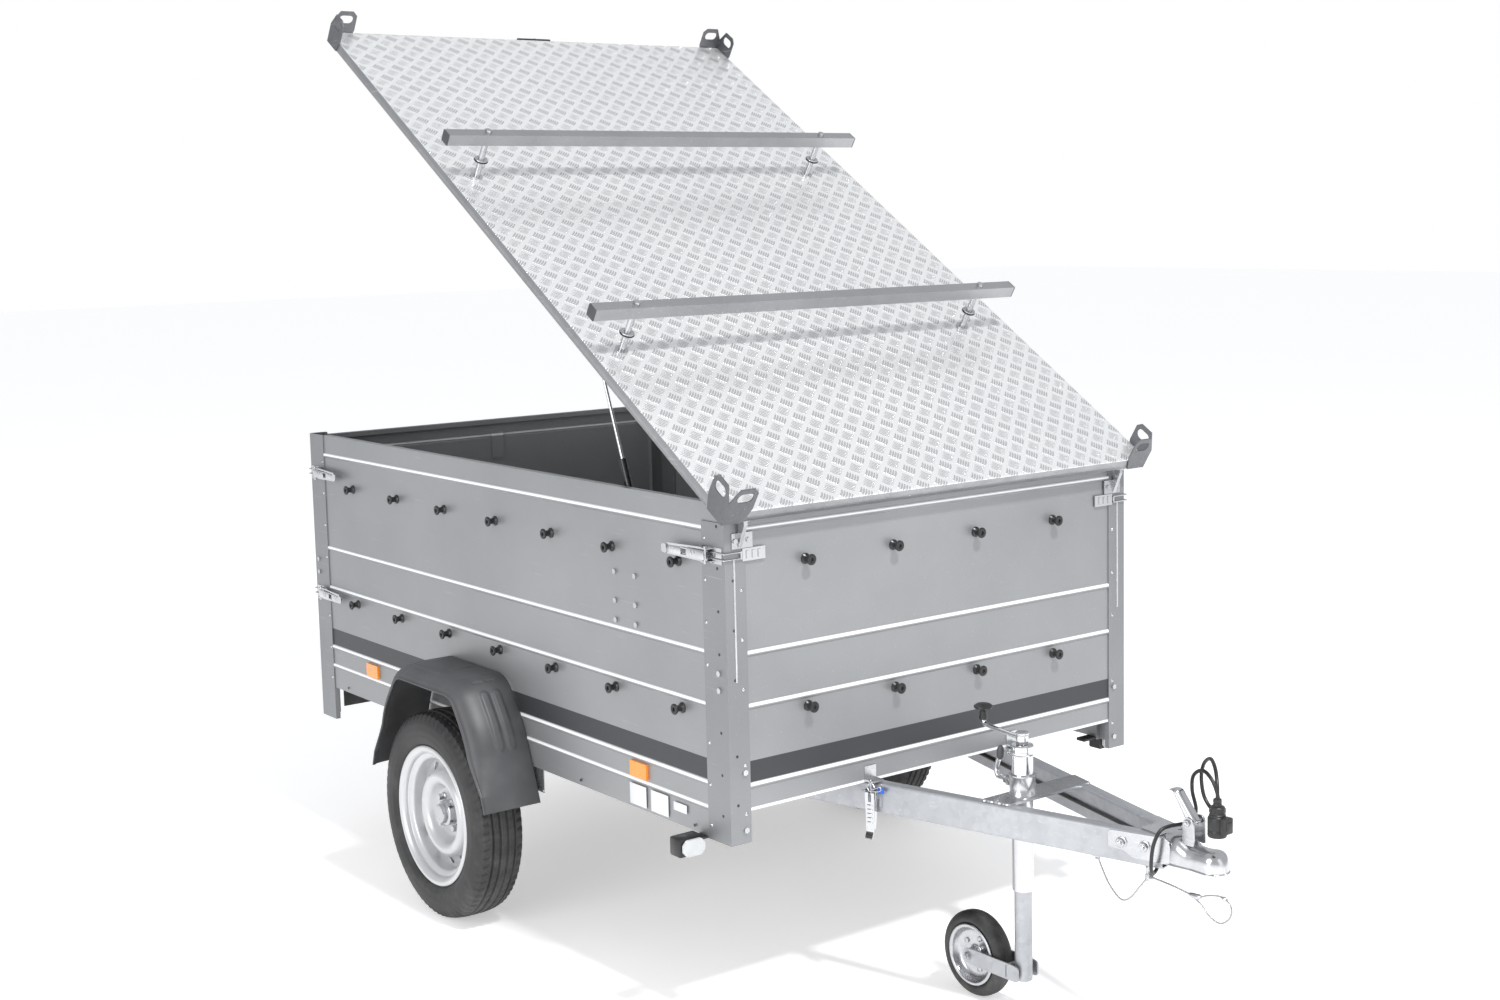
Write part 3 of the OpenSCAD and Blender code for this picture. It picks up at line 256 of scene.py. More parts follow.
def rounded(points, r, k=5):
    """Polygon corners replaced by arcs: quadratic curves from r before to r after each."""
    p = np.array(points, float)
    before, after = np.roll(p, 1, 0) - p, np.roll(p, -1, 0) - p
    la, lb = np.linalg.norm(before, axis=1), np.linalg.norm(after, axis=1)
    ra, rb = np.minimum(r, la / 2.01), np.minimum(r, lb / 2.01)
    a, b = p + before * (ra / la)[:, None], p + after * (rb / lb)[:, None]
    t = np.linspace(0, 1, k)[None, :, None]
    return ((1 - t) ** 2 * a[:, None] + 2 * t * (1 - t) * p[:, None]
            + t ** 2 * b[:, None]).reshape(-1, p.shape[1])


def bar(section, length, at=(0, 0, 0), turn=np.eye(3)):
    """A flat section (x, y) drawn out along Z by length, with both ends closed."""
    s = np.array(section, float)
    z = np.array([0.0, length])[:, None]
    P = np.stack([s[:, 0] + 0 * z, s[:, 1] + 0 * z, z + 0 * s[:, 0]], -1)
    return grid(P @ np.asarray(turn).T + at, close_v=True, cap_u=True)


def tube_bar(section, inner, length, at=(0, 0, 0), turn=np.eye(3)):
    """A hollow bar: the rows run out along the outside and back along the inside."""
    o, i = np.array(section, float), np.array(inner, float)
    rows = [(o, 0.0), (o, length), (i, length), (i, 0.0)]
    P = np.stack([np.column_stack([s, np.full(len(s), z)]) for s, z in rows])
    return grid(P @ np.asarray(turn).T + at, close_u=True, close_v=True)


def frames_along(path):
    """Two directions across a path, which turn as little as they can on the way."""
    d = np.gradient(path, axis=0)
    d /= np.linalg.norm(d, axis=1)[:, None]
    side = np.cross(d[0], [0, 1, 0] if abs(d[0][2]) > 0.8 else [0, 0, 1])
    sides = []
    for t in d:
        side = side - (side @ t) * t
        side = side / np.linalg.norm(side)
        sides.append(side)
    sides = np.array(sides)
    return sides, np.cross(d, sides)


def sweep(path, section, loop=False, scale=None):
    """A section (x, y) carried along a path on the two side directions."""
    path, s = np.array(path, float), np.array(section, float)
    a, b = frames_along(path)
    k = np.ones(len(path)) if scale is None else np.array(scale, float)
    across = s[None, :, :1] * a[:, None] + s[None, :, 1:] * b[:, None]
    P = path[:, None] + k[:, None, None] * across
    return grid(P, close_u=loop, close_v=True, cap_u=not loop)


def circle(r, n=12):
    """Points (r cos t, r sin t)."""
    t = np.linspace(0, 2 * np.pi, n, endpoint=False)
    return np.column_stack([r * np.cos(t), r * np.sin(t)])


def smooth_path(points, n):
    """Catmull-Rom: each span is the cubic through its ends whose slopes are half of the
    chord between the neighbours."""
    p = np.array(points, float)
    q = np.concatenate([p[:1], p, p[-1:]])
    a, b, c, d = q[:-3, None], q[1:-2, None], q[2:-1, None], q[3:, None]
    t = (np.arange(n) / n)[None, :, None]
    out = 0.5 * (2 * b + (c - a) * t + (2 * a - 5 * b + 4 * c - d) * t ** 2
                 + (3 * b - a - 3 * c + d) * t ** 3)
    return np.concatenate([out.reshape(-1, p.shape[1]), p[-1:]])


def block(lo, hi, r=1.0, k=3):
    """A box with rounded edges: a sphere of radius r whose octants are pushed apart, so
    point = middle + sign(d) (half - r) + r d for each direction d of the sphere."""
    lo, hi = np.array(lo, float), np.array(hi, float)
    half = (hi - lo) / 2
    r = min(r, half.min() * 0.999)
    q = np.linspace(0, np.pi / 2, k)
    lat = np.concatenate([q - np.pi / 2, q])
    up = np.concatenate([-np.ones(k), np.ones(k)])
    lon = np.concatenate([q + s * np.pi / 2 for s in range(4)])
    sx = np.repeat([1, -1, -1, 1], k)
    sy = np.repeat([1, 1, -1, -1], k)
    d = np.stack([np.cos(lat)[:, None] * np.cos(lon), np.cos(lat)[:, None] * np.sin(lon),
                  np.sin(lat)[:, None] + 0 * lon], -1)
    s = np.stack(np.broadcast_arrays(sx[None, :], sy[None, :], up[:, None]), -1)
    return grid((lo + hi) / 2 + s * (half - r) + r * d, close_v=True, cap_u=True)


def ring_plate(outer, inner, t, at=(0, 0, 0), turn=np.eye(3)):
    """A plate in (x, y) with one hole: rows outer top, inner top, inner low, outer low."""
    o, i = np.array(outer, float), np.array(inner, float)
    rows = [(o, t), (i, t), (i, 0.0), (o, 0.0)]
    P = np.stack([np.column_stack([s, np.full(len(s), z)]) for s, z in rows])
    return grid(P @ np.asarray(turn).T + at, close_u=True, close_v=True)


def even(poly, n):
    """n points spaced evenly along a closed outline."""
    p = np.array(poly, float)
    q = np.concatenate([p, p[:1]])
    s = np.concatenate([[0], np.cumsum(np.linalg.norm(np.diff(q, axis=0), axis=1))])
    t = np.arange(n) / n * s[-1]
    return np.column_stack([np.interp(t, s, q[:, k]) for k in range(p.shape[1])])


def moved(part, at=(0, 0, 0), turn=np.eye(3)):
    """A part turned, then moved."""
    return part[0] @ np.asarray(turn).T + at, part[1]


def hex_nut(r, h, at, turn=np.eye(3), dome=False):
    """A nut or bolt head: six sides with a chamfered crown, and a round end if domed."""
    s = circle(r, 6)
    rows = [(s * 0.9, 0), (s, 0.06 * h), (s, 0.78 * h), (s * 0.86, h)]
    P = np.stack([np.column_stack([q, np.full(6, z)]) for q, z in rows])
    parts = [moved(grid(P, close_v=True, cap_u=True), at, turn)]
    if dome:
        d = [(0.5 * r, h), (0.5 * r, 1.35 * h), (0.42 * r, 1.5 * h)]
        parts.append(lathe(capped(d), 12, at, turn))
    return parts


def rivet(r, h, at, turn=np.eye(3)):
    """A low dome: r cos and h sin of an angle from 0 to a quarter turn."""
    a = np.linspace(0, np.pi / 2 * 0.96, 4)
    return lathe([[0.01, -0.6]] + [[r, -0.6]] + [[r * math.cos(x), h * math.sin(x)] for x in a]
                 + [[0.01, h]], 12, at, turn)


FACE_RIGHT = rot_x(math.pi / 2)          # a part's +Z looks along -Y
FACE_LEFT = rot_x(-math.pi / 2)
FACE_FRONT = rot_y(math.pi / 2)          # a part's +Z looks along +X
FACE_REAR = rot_y(-math.pi / 2)
print("forms ready")

# %% [markdown]
# ## Finishes
# Each finish is a Principled BSDF fed by small node groups. A group holds one effect,
# such as clouding, zinc spangle, grain or the tread pattern, and gives masks and heights.
# Coordinates are the object's own, so a pattern stays on its piece when the piece moves.

# %% Node group helpers
def group(name, inputs, outputs):
    """A new shader group with float or vector inputs and float outputs, and its two ends."""
    g = bpy.data.node_groups.new(name, "ShaderNodeTree")
    for title, kind, value in inputs:
        s = g.interface.new_socket(name=title, in_out="INPUT", socket_type=kind)
        if value is not None:
            s.default_value = value
    for title in outputs:
        g.interface.new_socket(name=title, in_out="OUTPUT", socket_type="NodeSocketFloat")
    return g, g.nodes.new("NodeGroupInput"), g.nodes.new("NodeGroupOutput")


def feed(tree, socket, value):
    """Links an output to a socket, or sets the socket to a plain value."""
    if isinstance(value, bpy.types.NodeSocket):
        tree.links.new(value, socket)
    elif value is not None:
        socket.default_value = value


def sums(tree, how, *values, clamp=False):
    """A Math node: how is its operation, and each value a number or an output."""
    n = tree.nodes.new("ShaderNodeMath")
    n.operation, n.use_clamp = how, clamp
    for k, v in enumerate(values):
        feed(tree, n.inputs[k], v)
    return n.outputs[0]


def noise(tree, vector, scale, detail=3.0, rough=0.55, stretch=None):
    """Noise on a vector, stretched by a Mapping node when wanted."""
    if stretch:
        m = tree.nodes.new("ShaderNodeMapping")
        m.inputs["Scale"].default_value = stretch
        tree.links.new(vector, m.inputs["Vector"])
        vector = m.outputs[0]
    n = tree.nodes.new("ShaderNodeTexNoise")
    tree.links.new(vector, n.inputs["Vector"])
    feed(tree, n.inputs["Scale"], scale)
    n.inputs["Detail"].default_value, n.inputs["Roughness"].default_value = detail, rough
    return n.outputs["Fac"]


def remap(tree, value, lo, hi, to_lo=0.0, to_hi=1.0):
    """Map Range: lo to hi becomes to_lo to to_hi, held at the ends."""
    n = tree.nodes.new("ShaderNodeMapRange")
    feed(tree, n.inputs["Value"], value)
    for title, v in (("From Min", lo), ("From Max", hi), ("To Min", to_lo), ("To Max", to_hi)):
        feed(tree, n.inputs[title], v)
    return n.outputs[0]


VEC, NUM = "NodeSocketVector", "NodeSocketFloat"
print("group helpers ready")

# %% [markdown]
# Coated sheet and plated parts are never one even grey. "Clouds" gives a broad tone, a
# fine speckle, thin scratches that run along the sheet, and a height for the bump.

# %% Clouds, speckle and scratches
CLOUDS, gi, go = group("clouds", [("Vector", VEC, None), ("Broad", NUM, 3.0),
                                  ("Fine", NUM, 400.0)],
                       ["Tone", "Speckle", "Scratch", "Height"])
vec = gi.outputs["Vector"]
broad = noise(CLOUDS, vec, gi.outputs["Broad"], 4)
fine = noise(CLOUDS, vec, gi.outputs["Fine"], 2)
streak = noise(CLOUDS, vec, 60.0, 2, stretch=(0.12, 3.0, 3.0))
feed(CLOUDS, go.inputs["Tone"], remap(CLOUDS, broad, 0.3, 0.7))
feed(CLOUDS, go.inputs["Speckle"], remap(CLOUDS, fine, 0.35, 0.65))
feed(CLOUDS, go.inputs["Scratch"], remap(CLOUDS, streak, 0.66, 0.74))
feed(CLOUDS, go.inputs["Height"], sums(CLOUDS, "MULTIPLY_ADD", fine, 0.5, broad))
print("clouds", len(CLOUDS.nodes), "nodes")

# %% [markdown]
# Hot-dip zinc freezes into flat crystals. A Voronoi cell's own random colour gives each
# crystal its tone, and noise bends the borders between them.

# %% Zinc spangle
SPANGLE, gi, go = group("spangle", [("Vector", VEC, None), ("Size", NUM, 90.0)],
                        ["Tone", "Height"])
bend = SPANGLE.nodes.new("ShaderNodeTexNoise")
bend.inputs["Scale"].default_value = 55.0
SPANGLE.links.new(gi.outputs["Vector"], bend.inputs["Vector"])
shift = SPANGLE.nodes.new("ShaderNodeVectorMath")
shift.operation = "MULTIPLY_ADD"
SPANGLE.links.new(bend.outputs["Color"], shift.inputs[0])
shift.inputs[1].default_value = (0.012, 0.012, 0.012)
SPANGLE.links.new(gi.outputs["Vector"], shift.inputs[2])
cell = SPANGLE.nodes.new("ShaderNodeTexVoronoi")
SPANGLE.links.new(shift.outputs[0], cell.inputs["Vector"])
SPANGLE.links.new(gi.outputs["Size"], cell.inputs["Scale"])
split = SPANGLE.nodes.new("ShaderNodeSeparateColor")
SPANGLE.links.new(cell.outputs["Color"], split.inputs[0])
grainy = noise(SPANGLE, gi.outputs["Vector"], 500.0, 2)
feed(SPANGLE, go.inputs["Tone"], sums(SPANGLE, "MULTIPLY_ADD", grainy, 0.35,
                                      sums(SPANGLE, "MULTIPLY", split.outputs[0], 0.65)))
feed(SPANGLE, go.inputs["Height"], cell.outputs["Distance"])
print("spangle", len(SPANGLE.nodes), "nodes")

# %% [markdown]
# Five-bar tread sheet: the sheet is a chequerboard turned by 45 degrees, and each square
# holds five short raised bars, along one way in the light squares and along the other in
# the dark ones. The groups below work in the lid's own plane, where the Mapping node in
# the material has already turned the open lid back to level.

# %% Tread pattern
TREAD, gi, go = group("tread", [("Vector", VEC, None), ("Cell", NUM, 0.040)],
                      ["Bar", "Crest", "Height"])
turn = TREAD.nodes.new("ShaderNodeMapping")
turn.inputs["Rotation"].default_value = (0, 0, math.radians(45))
TREAD.links.new(gi.outputs["Vector"], turn.inputs["Vector"])
xyz = TREAD.nodes.new("ShaderNodeSeparateXYZ")
TREAD.links.new(turn.outputs[0], xyz.inputs[0])
u = sums(TREAD, "DIVIDE", xyz.outputs[0], gi.outputs["Cell"])
v = sums(TREAD, "DIVIDE", xyz.outputs[1], gi.outputs["Cell"])
fu, fv = sums(TREAD, "FLOOR", u), sums(TREAD, "FLOOR", v)
odd = sums(TREAD, "ABSOLUTE", sums(TREAD, "MODULO", sums(TREAD, "ADD", fu, fv), 2.0))
cu = sums(TREAD, "SUBTRACT", sums(TREAD, "SUBTRACT", u, fu), 0.5)
cv = sums(TREAD, "SUBTRACT", sums(TREAD, "SUBTRACT", v, fv), 0.5)


def pick(a, b):
    """a where the square is even, b where it is odd."""
    return sums(TREAD, "MULTIPLY_ADD", odd, sums(TREAD, "SUBTRACT", b, a), a)


along, across = pick(cu, cv), pick(cv, cu)
bow = sums(TREAD, "MULTIPLY_ADD", sums(TREAD, "MULTIPLY", along, along), 0.35, across)
lane = sums(TREAD, "MULTIPLY", bow, 6.4)
near = sums(TREAD, "ABSOLUTE", sums(TREAD, "SUBTRACT", lane, sums(TREAD, "ROUND", lane)))
width = sums(TREAD, "MULTIPLY_ADD", sums(TREAD, "MULTIPLY", along, along), -1.1, 0.36)
bar_mask = remap(TREAD, sums(TREAD, "SUBTRACT", width, near), 0.0, 0.16)
in_len = remap(TREAD, sums(TREAD, "ABSOLUTE", along), 0.29, 0.35, 1.0, 0.0)
in_wide = remap(TREAD, sums(TREAD, "ABSOLUTE", across), 0.38, 0.41, 1.0, 0.0)
raised = sums(TREAD, "MULTIPLY", bar_mask, sums(TREAD, "MULTIPLY", in_len, in_wide))
feed(TREAD, go.inputs["Bar"], raised)
feed(TREAD, go.inputs["Crest"], remap(TREAD, raised, 0.55, 1.0))
feed(TREAD, go.inputs["Height"], raised)
print("tread", len(TREAD.nodes), "nodes")

# %% [markdown]
# Moulded plastic and rubber: a fine stipple, broad fading, and pale dust that gathers in
# patches and near the ground.

# %% Moulded grain and dust
GRAIN, gi, go = group("grain", [("Vector", VEC, None), ("Stipple", NUM, 900.0),
                                ("Dust height", NUM, 0.25)],
                      ["Tone", "Dust", "Height"])
vec = gi.outputs["Vector"]
low = GRAIN.nodes.new("ShaderNodeSeparateXYZ")
GRAIN.links.new(vec, low.inputs[0])
patch = noise(GRAIN, vec, 14.0, 5, 0.65)
near_floor = remap(GRAIN, low.outputs[2], 0.0, gi.outputs["Dust height"], 1.0, 0.0)
feed(GRAIN, go.inputs["Tone"], remap(GRAIN, noise(GRAIN, vec, 7.0, 3), 0.3, 0.7))
feed(GRAIN, go.inputs["Dust"], sums(GRAIN, "MULTIPLY", remap(GRAIN, patch, 0.45, 0.75),
                                    sums(GRAIN, "MULTIPLY_ADD", near_floor, 0.75, 0.25)))
feed(GRAIN, go.inputs["Height"], noise(GRAIN, vec, gi.outputs["Stipple"], 2))
print("grain", len(GRAIN.nodes), "nodes")


# %% [markdown]
# One builder makes a material: two tones mixed by a mask, a roughness range on the same
# mask, and a bump. Extra marks, such as a painted band or a painted highlight on the bead
# tops, are added as masks with their own colour.

# %% Material builder
class Finish:
    """A material with its Principled BSDF, object coordinates and running colour."""

    def __init__(self, name, metallic, rough, coat=0.0):
        self.mat = bpy.data.materials.new(name)
        self.mat.use_nodes = True
        self.tree = self.mat.node_tree
        self.bsdf = self.tree.nodes["Principled BSDF"]
        self.bsdf.inputs["Metallic"].default_value = metallic
        self.bsdf.inputs["Roughness"].default_value = rough
        self.bsdf.inputs["Coat Weight"].default_value = coat
        self.vector = self.tree.nodes.new("ShaderNodeTexCoord").outputs["Object"]

    def use(self, effect, **values):
        """Places a group on the coordinates and returns its outputs by name."""
        n = self.tree.nodes.new("ShaderNodeGroup")
        n.node_tree = effect
        self.tree.links.new(self.vector, n.inputs["Vector"])
        for title, v in values.items():
            n.inputs[title.replace("_", " ")].default_value = v
        return n.outputs

    def mix(self, mask, a, b):
        """Colour a where the mask is 0 and b where it is 1."""
        n = self.tree.nodes.new("ShaderNodeMix")
        n.data_type = "RGBA"
        feed(self.tree, n.inputs["Factor"], mask)
        for socket, c in ((n.inputs[6], a), (n.inputs[7], b)):
            feed(self.tree, socket, (*c, 1) if isinstance(c, tuple) else c)
        return n.outputs[2]

    def colour(self, value):
        feed(self.tree, self.bsdf.inputs["Base Color"], value)
        return self

    def rough(self, mask, lo, hi):
        feed(self.tree, self.bsdf.inputs["Roughness"], remap(self.tree, mask, 0, 1, lo, hi))
        return self

    def bump(self, height, strength, distance, under=None):
        n = self.tree.nodes.new("ShaderNodeBump")
        n.inputs["Strength"].default_value = strength
        n.inputs["Distance"].default_value = distance
        feed(self.tree, n.inputs["Height"], height)
        if under is not None:
            self.tree.links.new(under, n.inputs["Normal"])
        self.tree.links.new(n.outputs[0], self.bsdf.inputs["Normal"])
        return n.outputs[0]

    def axis(self, k):
        """One coordinate of the point, in metres."""
        if not hasattr(self, "parts"):
            self.parts = self.tree.nodes.new("ShaderNodeSeparateXYZ")
            self.tree.links.new(self.vector, self.parts.inputs[0])
        return self.parts.outputs[k]

    def band(self, value, lo, hi, soft=0.0005):
        """1 between lo and hi, with soft edges."""
        rise = remap(self.tree, value, lo - soft, lo + soft)
        fall = remap(self.tree, value, hi - soft, hi + soft, 1.0, 0.0)
        return sums(self.tree, "MULTIPLY", rise, fall)

    def either(self, *masks):
        """The largest of some masks."""
        out = masks[0]
        for m in masks[1:]:
            out = sums(self.tree, "MAXIMUM", out, m)
        return out


print("builder ready")

# %% [markdown]
# The sides are grey coated sheet. A painted highlight draws each long bead as a bright
# line, and a plain dark band runs round the box above the lowest bead.

# %% Sheet steel of the box
FRAME_Z, SEAM_Z = 0.505, 0.798
BEADS = [FRAME_Z, FRAME_Z + 0.056, FRAME_Z + 0.234, SEAM_Z + 0.059, SEAM_Z + 0.334]


def sheet_steel(name, light, dark, beads=BEADS, stripe=True):
    """Satin grey: clouded tone, fine speckle, a painted highlight on the bead tops and the dark
    band.
    """
    f = Finish(name, 0.55, 0.4)
    c = f.use(CLOUDS, Broad=2.2, Fine=700.0)
    base = f.mix(c["Tone"], dark, light)
    base = f.mix(sums(f.tree, "MULTIPLY", c["Speckle"], 0.16), base, tuple(v * 1.5 for v in light))
    base = f.mix(sums(f.tree, "MULTIPLY", c["Scratch"], 0.10), base, (0.75, 0.76, 0.77))
    z = f.axis(2)
    if stripe:
        mark = f.band(z, FRAME_Z + 0.064, FRAME_Z + 0.112)
        base = f.mix(mark, base, (0.062, 0.064, 0.069))
    if beads:
        # painted highlight: each bead top is coloured nearly white and made less metallic, as if it
        # caught the light
        painted_bead_highlight = f.either(*[f.band(z, b - 0.0002, b + 0.0062, 0.0012) for b in beads])
        base = f.mix(painted_bead_highlight, base, (0.92, 0.93, 0.94))
        feed(f.tree, f.bsdf.inputs["Metallic"], remap(f.tree, painted_bead_highlight, 0, 1, 0.55, 0.1))
    f.colour(base).rough(c["Speckle"], 0.36, 0.5)
    f.bump(c["Height"], 0.06, 0.0008)
    return f.mat


panel_steel = sheet_steel("panel_steel", (0.315, 0.32, 0.327), (0.265, 0.27, 0.278))
post_steel = sheet_steel("post_steel", (0.27, 0.276, 0.285), (0.225, 0.23, 0.24), beads=None,
                         stripe=False)
plain_steel = sheet_steel("plain_steel", (0.34, 0.345, 0.352), (0.285, 0.29, 0.298), beads=None,
                          stripe=False)
print("sheet finishes", panel_steel.name, post_steel.name, plain_steel.name)

# %% [markdown]
# The drawbar is hot-dip galvanised: light grey with a quiet spangle. Pressed fittings are
# zinc plated, brighter and smoother, and the jockey tube is brighter still.

# %% Galvanised and plated steel
def zinc(name, light, dark, rough=(0.3, 0.5), metallic=0.85, size=90.0, spangle=0.8, bump=0.08):
    """Two greys mixed by crystals and clouds, with rougher dark crystals."""
    f = Finish(name, metallic, 0.4)
    s, c = f.use(SPANGLE, Size=size), f.use(CLOUDS, Broad=6.0, Fine=500.0)
    tone = sums(f.tree, "MULTIPLY_ADD", s["Tone"], spangle,
                sums(f.tree, "MULTIPLY", c["Tone"], 1.0 - spangle), clamp=True)
    base = f.mix(tone, dark, light)
    base = f.mix(sums(f.tree, "MULTIPLY", c["Scratch"], 0.25), base, (0.9, 0.9, 0.9))
    f.colour(base).rough(tone, rough[1], rough[0])
    f.bump(c["Height"], bump, 0.0006)
    return f.mat


galvanised = zinc("galvanised", (0.50, 0.51, 0.53), (0.36, 0.37, 0.39), (0.36, 0.5), 0.8,
                  70.0, 0.45)
plated = zinc("plated", (0.62, 0.62, 0.63), (0.44, 0.45, 0.47), (0.16, 0.3), 0.95, 160.0, 0.3, 0.14)
bright = zinc("bright", (0.68, 0.68, 0.69), (0.52, 0.53, 0.55), (0.08, 0.16), 1.0, 160.0, 0.2, 0.03)
bracket_steel = zinc("bracket_steel", (0.21, 0.215, 0.225), (0.14, 0.145, 0.155), (0.3, 0.45), 0.8,
                     120.0, 0.3)
wheel_silver = zinc("wheel_silver", (0.62, 0.625, 0.635), (0.54, 0.545, 0.555), (0.3, 0.4), 0.45,
                    120.0, 0.15, 0.05)
print("zinc finishes ready")

# %% [markdown]
# The lid's sheet is bright aluminium with the tread pattern. Its Mapping node turns the
# open lid's plane level, so the pattern lies flat in that plane; on the folded edges the
# upright coordinate is added, so the bars wrap over the fold.

# %% Tread aluminium
def tread_aluminium(name):
    """Raised bars are coloured much darker as painted shade, and their crests a little lighter."""
    f = Finish(name, 0.72, 0.3)
    level = f.tree.nodes.new("ShaderNodeMapping")
    level.vector_type = "TEXTURE"
    level.inputs["Location"].default_value = tuple(to_frame(HINGE))
    level.inputs["Rotation"].default_value = (0, LID_OPEN, 0)
    f.tree.links.new(f.vector, level.inputs["Vector"])
    parts = f.tree.nodes.new("ShaderNodeSeparateXYZ")
    f.tree.links.new(level.outputs[0], parts.inputs[0])
    wrap = f.tree.nodes.new("ShaderNodeCombineXYZ")
    feed(f.tree, wrap.inputs[0], sums(f.tree, "SUBTRACT", parts.outputs[0], parts.outputs[2]))
    feed(f.tree, wrap.inputs[1], sums(f.tree, "ADD", parts.outputs[1], parts.outputs[2]))
    c = f.use(CLOUDS, Broad=1.6, Fine=900.0)
    f.vector = wrap.outputs[0]
    t = f.use(TREAD)
    base = f.mix(c["Tone"], (0.84, 0.845, 0.85), (0.90, 0.903, 0.905))
    # painted shade: the raised bars are coloured dark grey against the bright sheet
    base = f.mix(sums(f.tree, "MULTIPLY", t["Bar"], 0.75), base, (0.36, 0.365, 0.37))
    base = f.mix(sums(f.tree, "MULTIPLY", t["Crest"], 0.12), base, (0.97, 0.97, 0.97))
    f.colour(base).rough(sums(f.tree, "MULTIPLY_ADD", c["Speckle"], 0.5,
                              sums(f.tree, "MULTIPLY", t["Bar"], 0.4)), 0.24, 0.42)
    fine = f.bump(c["Height"], 0.05, 0.0006)
    f.bump(t["Height"], 0.9, 0.0016, under=fine)
    return f.mat


tread = tread_aluminium("tread")
# painted shade: the flange is the lid's own aluminium, coloured much darker than the top, and its
# coarse mottle stands for painted highlights on the wrinkles
flange_aluminium_painted_shade = zinc("flange_aluminium_painted_shade", (0.40, 0.405, 0.415), (0.28, 0.285, 0.295),
                        (0.34, 0.5), 0.85, 45.0, 0.4, 0.08)
bar_aluminium = zinc("bar_aluminium", (0.40, 0.405, 0.415), (0.32, 0.325, 0.335), (0.3, 0.42), 0.85,
                     40.0, 0.1, 0.04)
print("aluminium finishes ready")


# %% Rubber, plastic, paint and wood
def moulded(name, light, dark, rough=(0.45, 0.62), stipple=900.0, bump=0.25, dust=0.35,
            dust_height=0.25, metallic=0.0, dust_tone=(0.30, 0.29, 0.27)):
    """Dark moulded surface: faded tone, stipple and a film of dust."""
    f = Finish(name, metallic, 0.5)
    g = f.use(GRAIN, Stipple=stipple, Dust_height=dust_height)
    base = f.mix(g["Tone"], dark, light)
    base = f.mix(sums(f.tree, "MULTIPLY", g["Dust"], dust), base, dust_tone)
    f.colour(base).rough(sums(f.tree, "MAXIMUM", g["Tone"], g["Dust"]), *rough)
    f.bump(g["Height"], bump, 0.0005)
    return f.mat


tyre_rubber = moulded("tyre_rubber", (0.030, 0.030, 0.031), (0.017, 0.017, 0.018), (0.5, 0.75),
                      500.0, 0.35, 0.22, 0.5)
guard_plastic = moulded("guard_plastic", (0.066, 0.067, 0.071), (0.048, 0.049, 0.052), (0.42, 0.52),
                        1400.0, 0.16, 0.10, 0.6)
knob_plastic = moulded("knob_plastic", (0.016, 0.016, 0.017), (0.010, 0.010, 0.011), (0.28, 0.4),
                       1200.0, 0.1, 0.05)
cord_rubber = moulded("cord_rubber", (0.018, 0.018, 0.019), (0.011, 0.011, 0.012), (0.32, 0.5),
                      800.0, 0.12, 0.08)
black_paint = moulded("black_paint", (0.030, 0.031, 0.033), (0.020, 0.020, 0.022), (0.38, 0.55),
                      300.0, 0.10, 0.25, 0.5)
strut_paint = moulded("strut_paint", (0.012, 0.012, 0.013), (0.008, 0.008, 0.009), (0.18, 0.3),
                      300.0, 0.03, 0.02)
blue_plastic = moulded("blue_plastic", (0.02, 0.12, 0.55), (0.015, 0.09, 0.42), (0.3, 0.4),
                       900.0, 0.1, 0.03)
white_plastic = moulded("white_plastic", (0.74, 0.75, 0.76), (0.66, 0.67, 0.68), (0.35, 0.5),
                        900.0, 0.06, 0.15)


def lens(name, light, dark, rough=0.12, pitch=260.0, strength=0.6, glow=0.0):
    """A moulded lens: small square prisms from two crossed waves under a clear coat, their tops
    coloured light as a painted glint and their hollows dark as painted shade, and an emission as a
    painted glow when glow is set.
    """
    f = Finish(name, 0.0, rough, coat=0.7)
    waves = []
    for k, way in enumerate(("X", "Z")):
        w = f.tree.nodes.new("ShaderNodeTexWave")
        w.bands_direction = way
        w.inputs["Scale"].default_value = pitch / 6.2832
        f.tree.links.new(f.vector, w.inputs["Vector"])
        waves.append(w.outputs["Fac"])
    prism = sums(f.tree, "MULTIPLY", waves[0], waves[1])
    c = f.use(CLOUDS, Broad=20.0)
    cloud = sums(f.tree, "MULTIPLY", c["Tone"], 0.3)
    # painted glint and shade: prism tops are coloured light and the hollows dark, with some random
    # clouding
    f.colour(f.mix(sums(f.tree, "MULTIPLY_ADD", prism, 0.7, cloud), dark, light))
    f.bump(prism, strength, 0.0010)
    # painted glow: an emission on a lens, used for reflectors that hold no lamp
    if glow:
        f.bsdf.inputs["Emission Color"].default_value = (*light, 1)
        f.bsdf.inputs["Emission Strength"].default_value = glow
    return f.mat


# the side reflectors are no lamps: their emission is a painted glow
amber_lens = lens("amber_lens", (1.0, 0.33, 0.010), (0.85, 0.20, 0.004), glow=0.12)
red_lens = lens("red_lens", (0.62, 0.02, 0.015), (0.36, 0.01, 0.008))
clear_lens = lens("clear_lens", (0.80, 0.81, 0.82), (0.42, 0.43, 0.44), pitch=420.0)


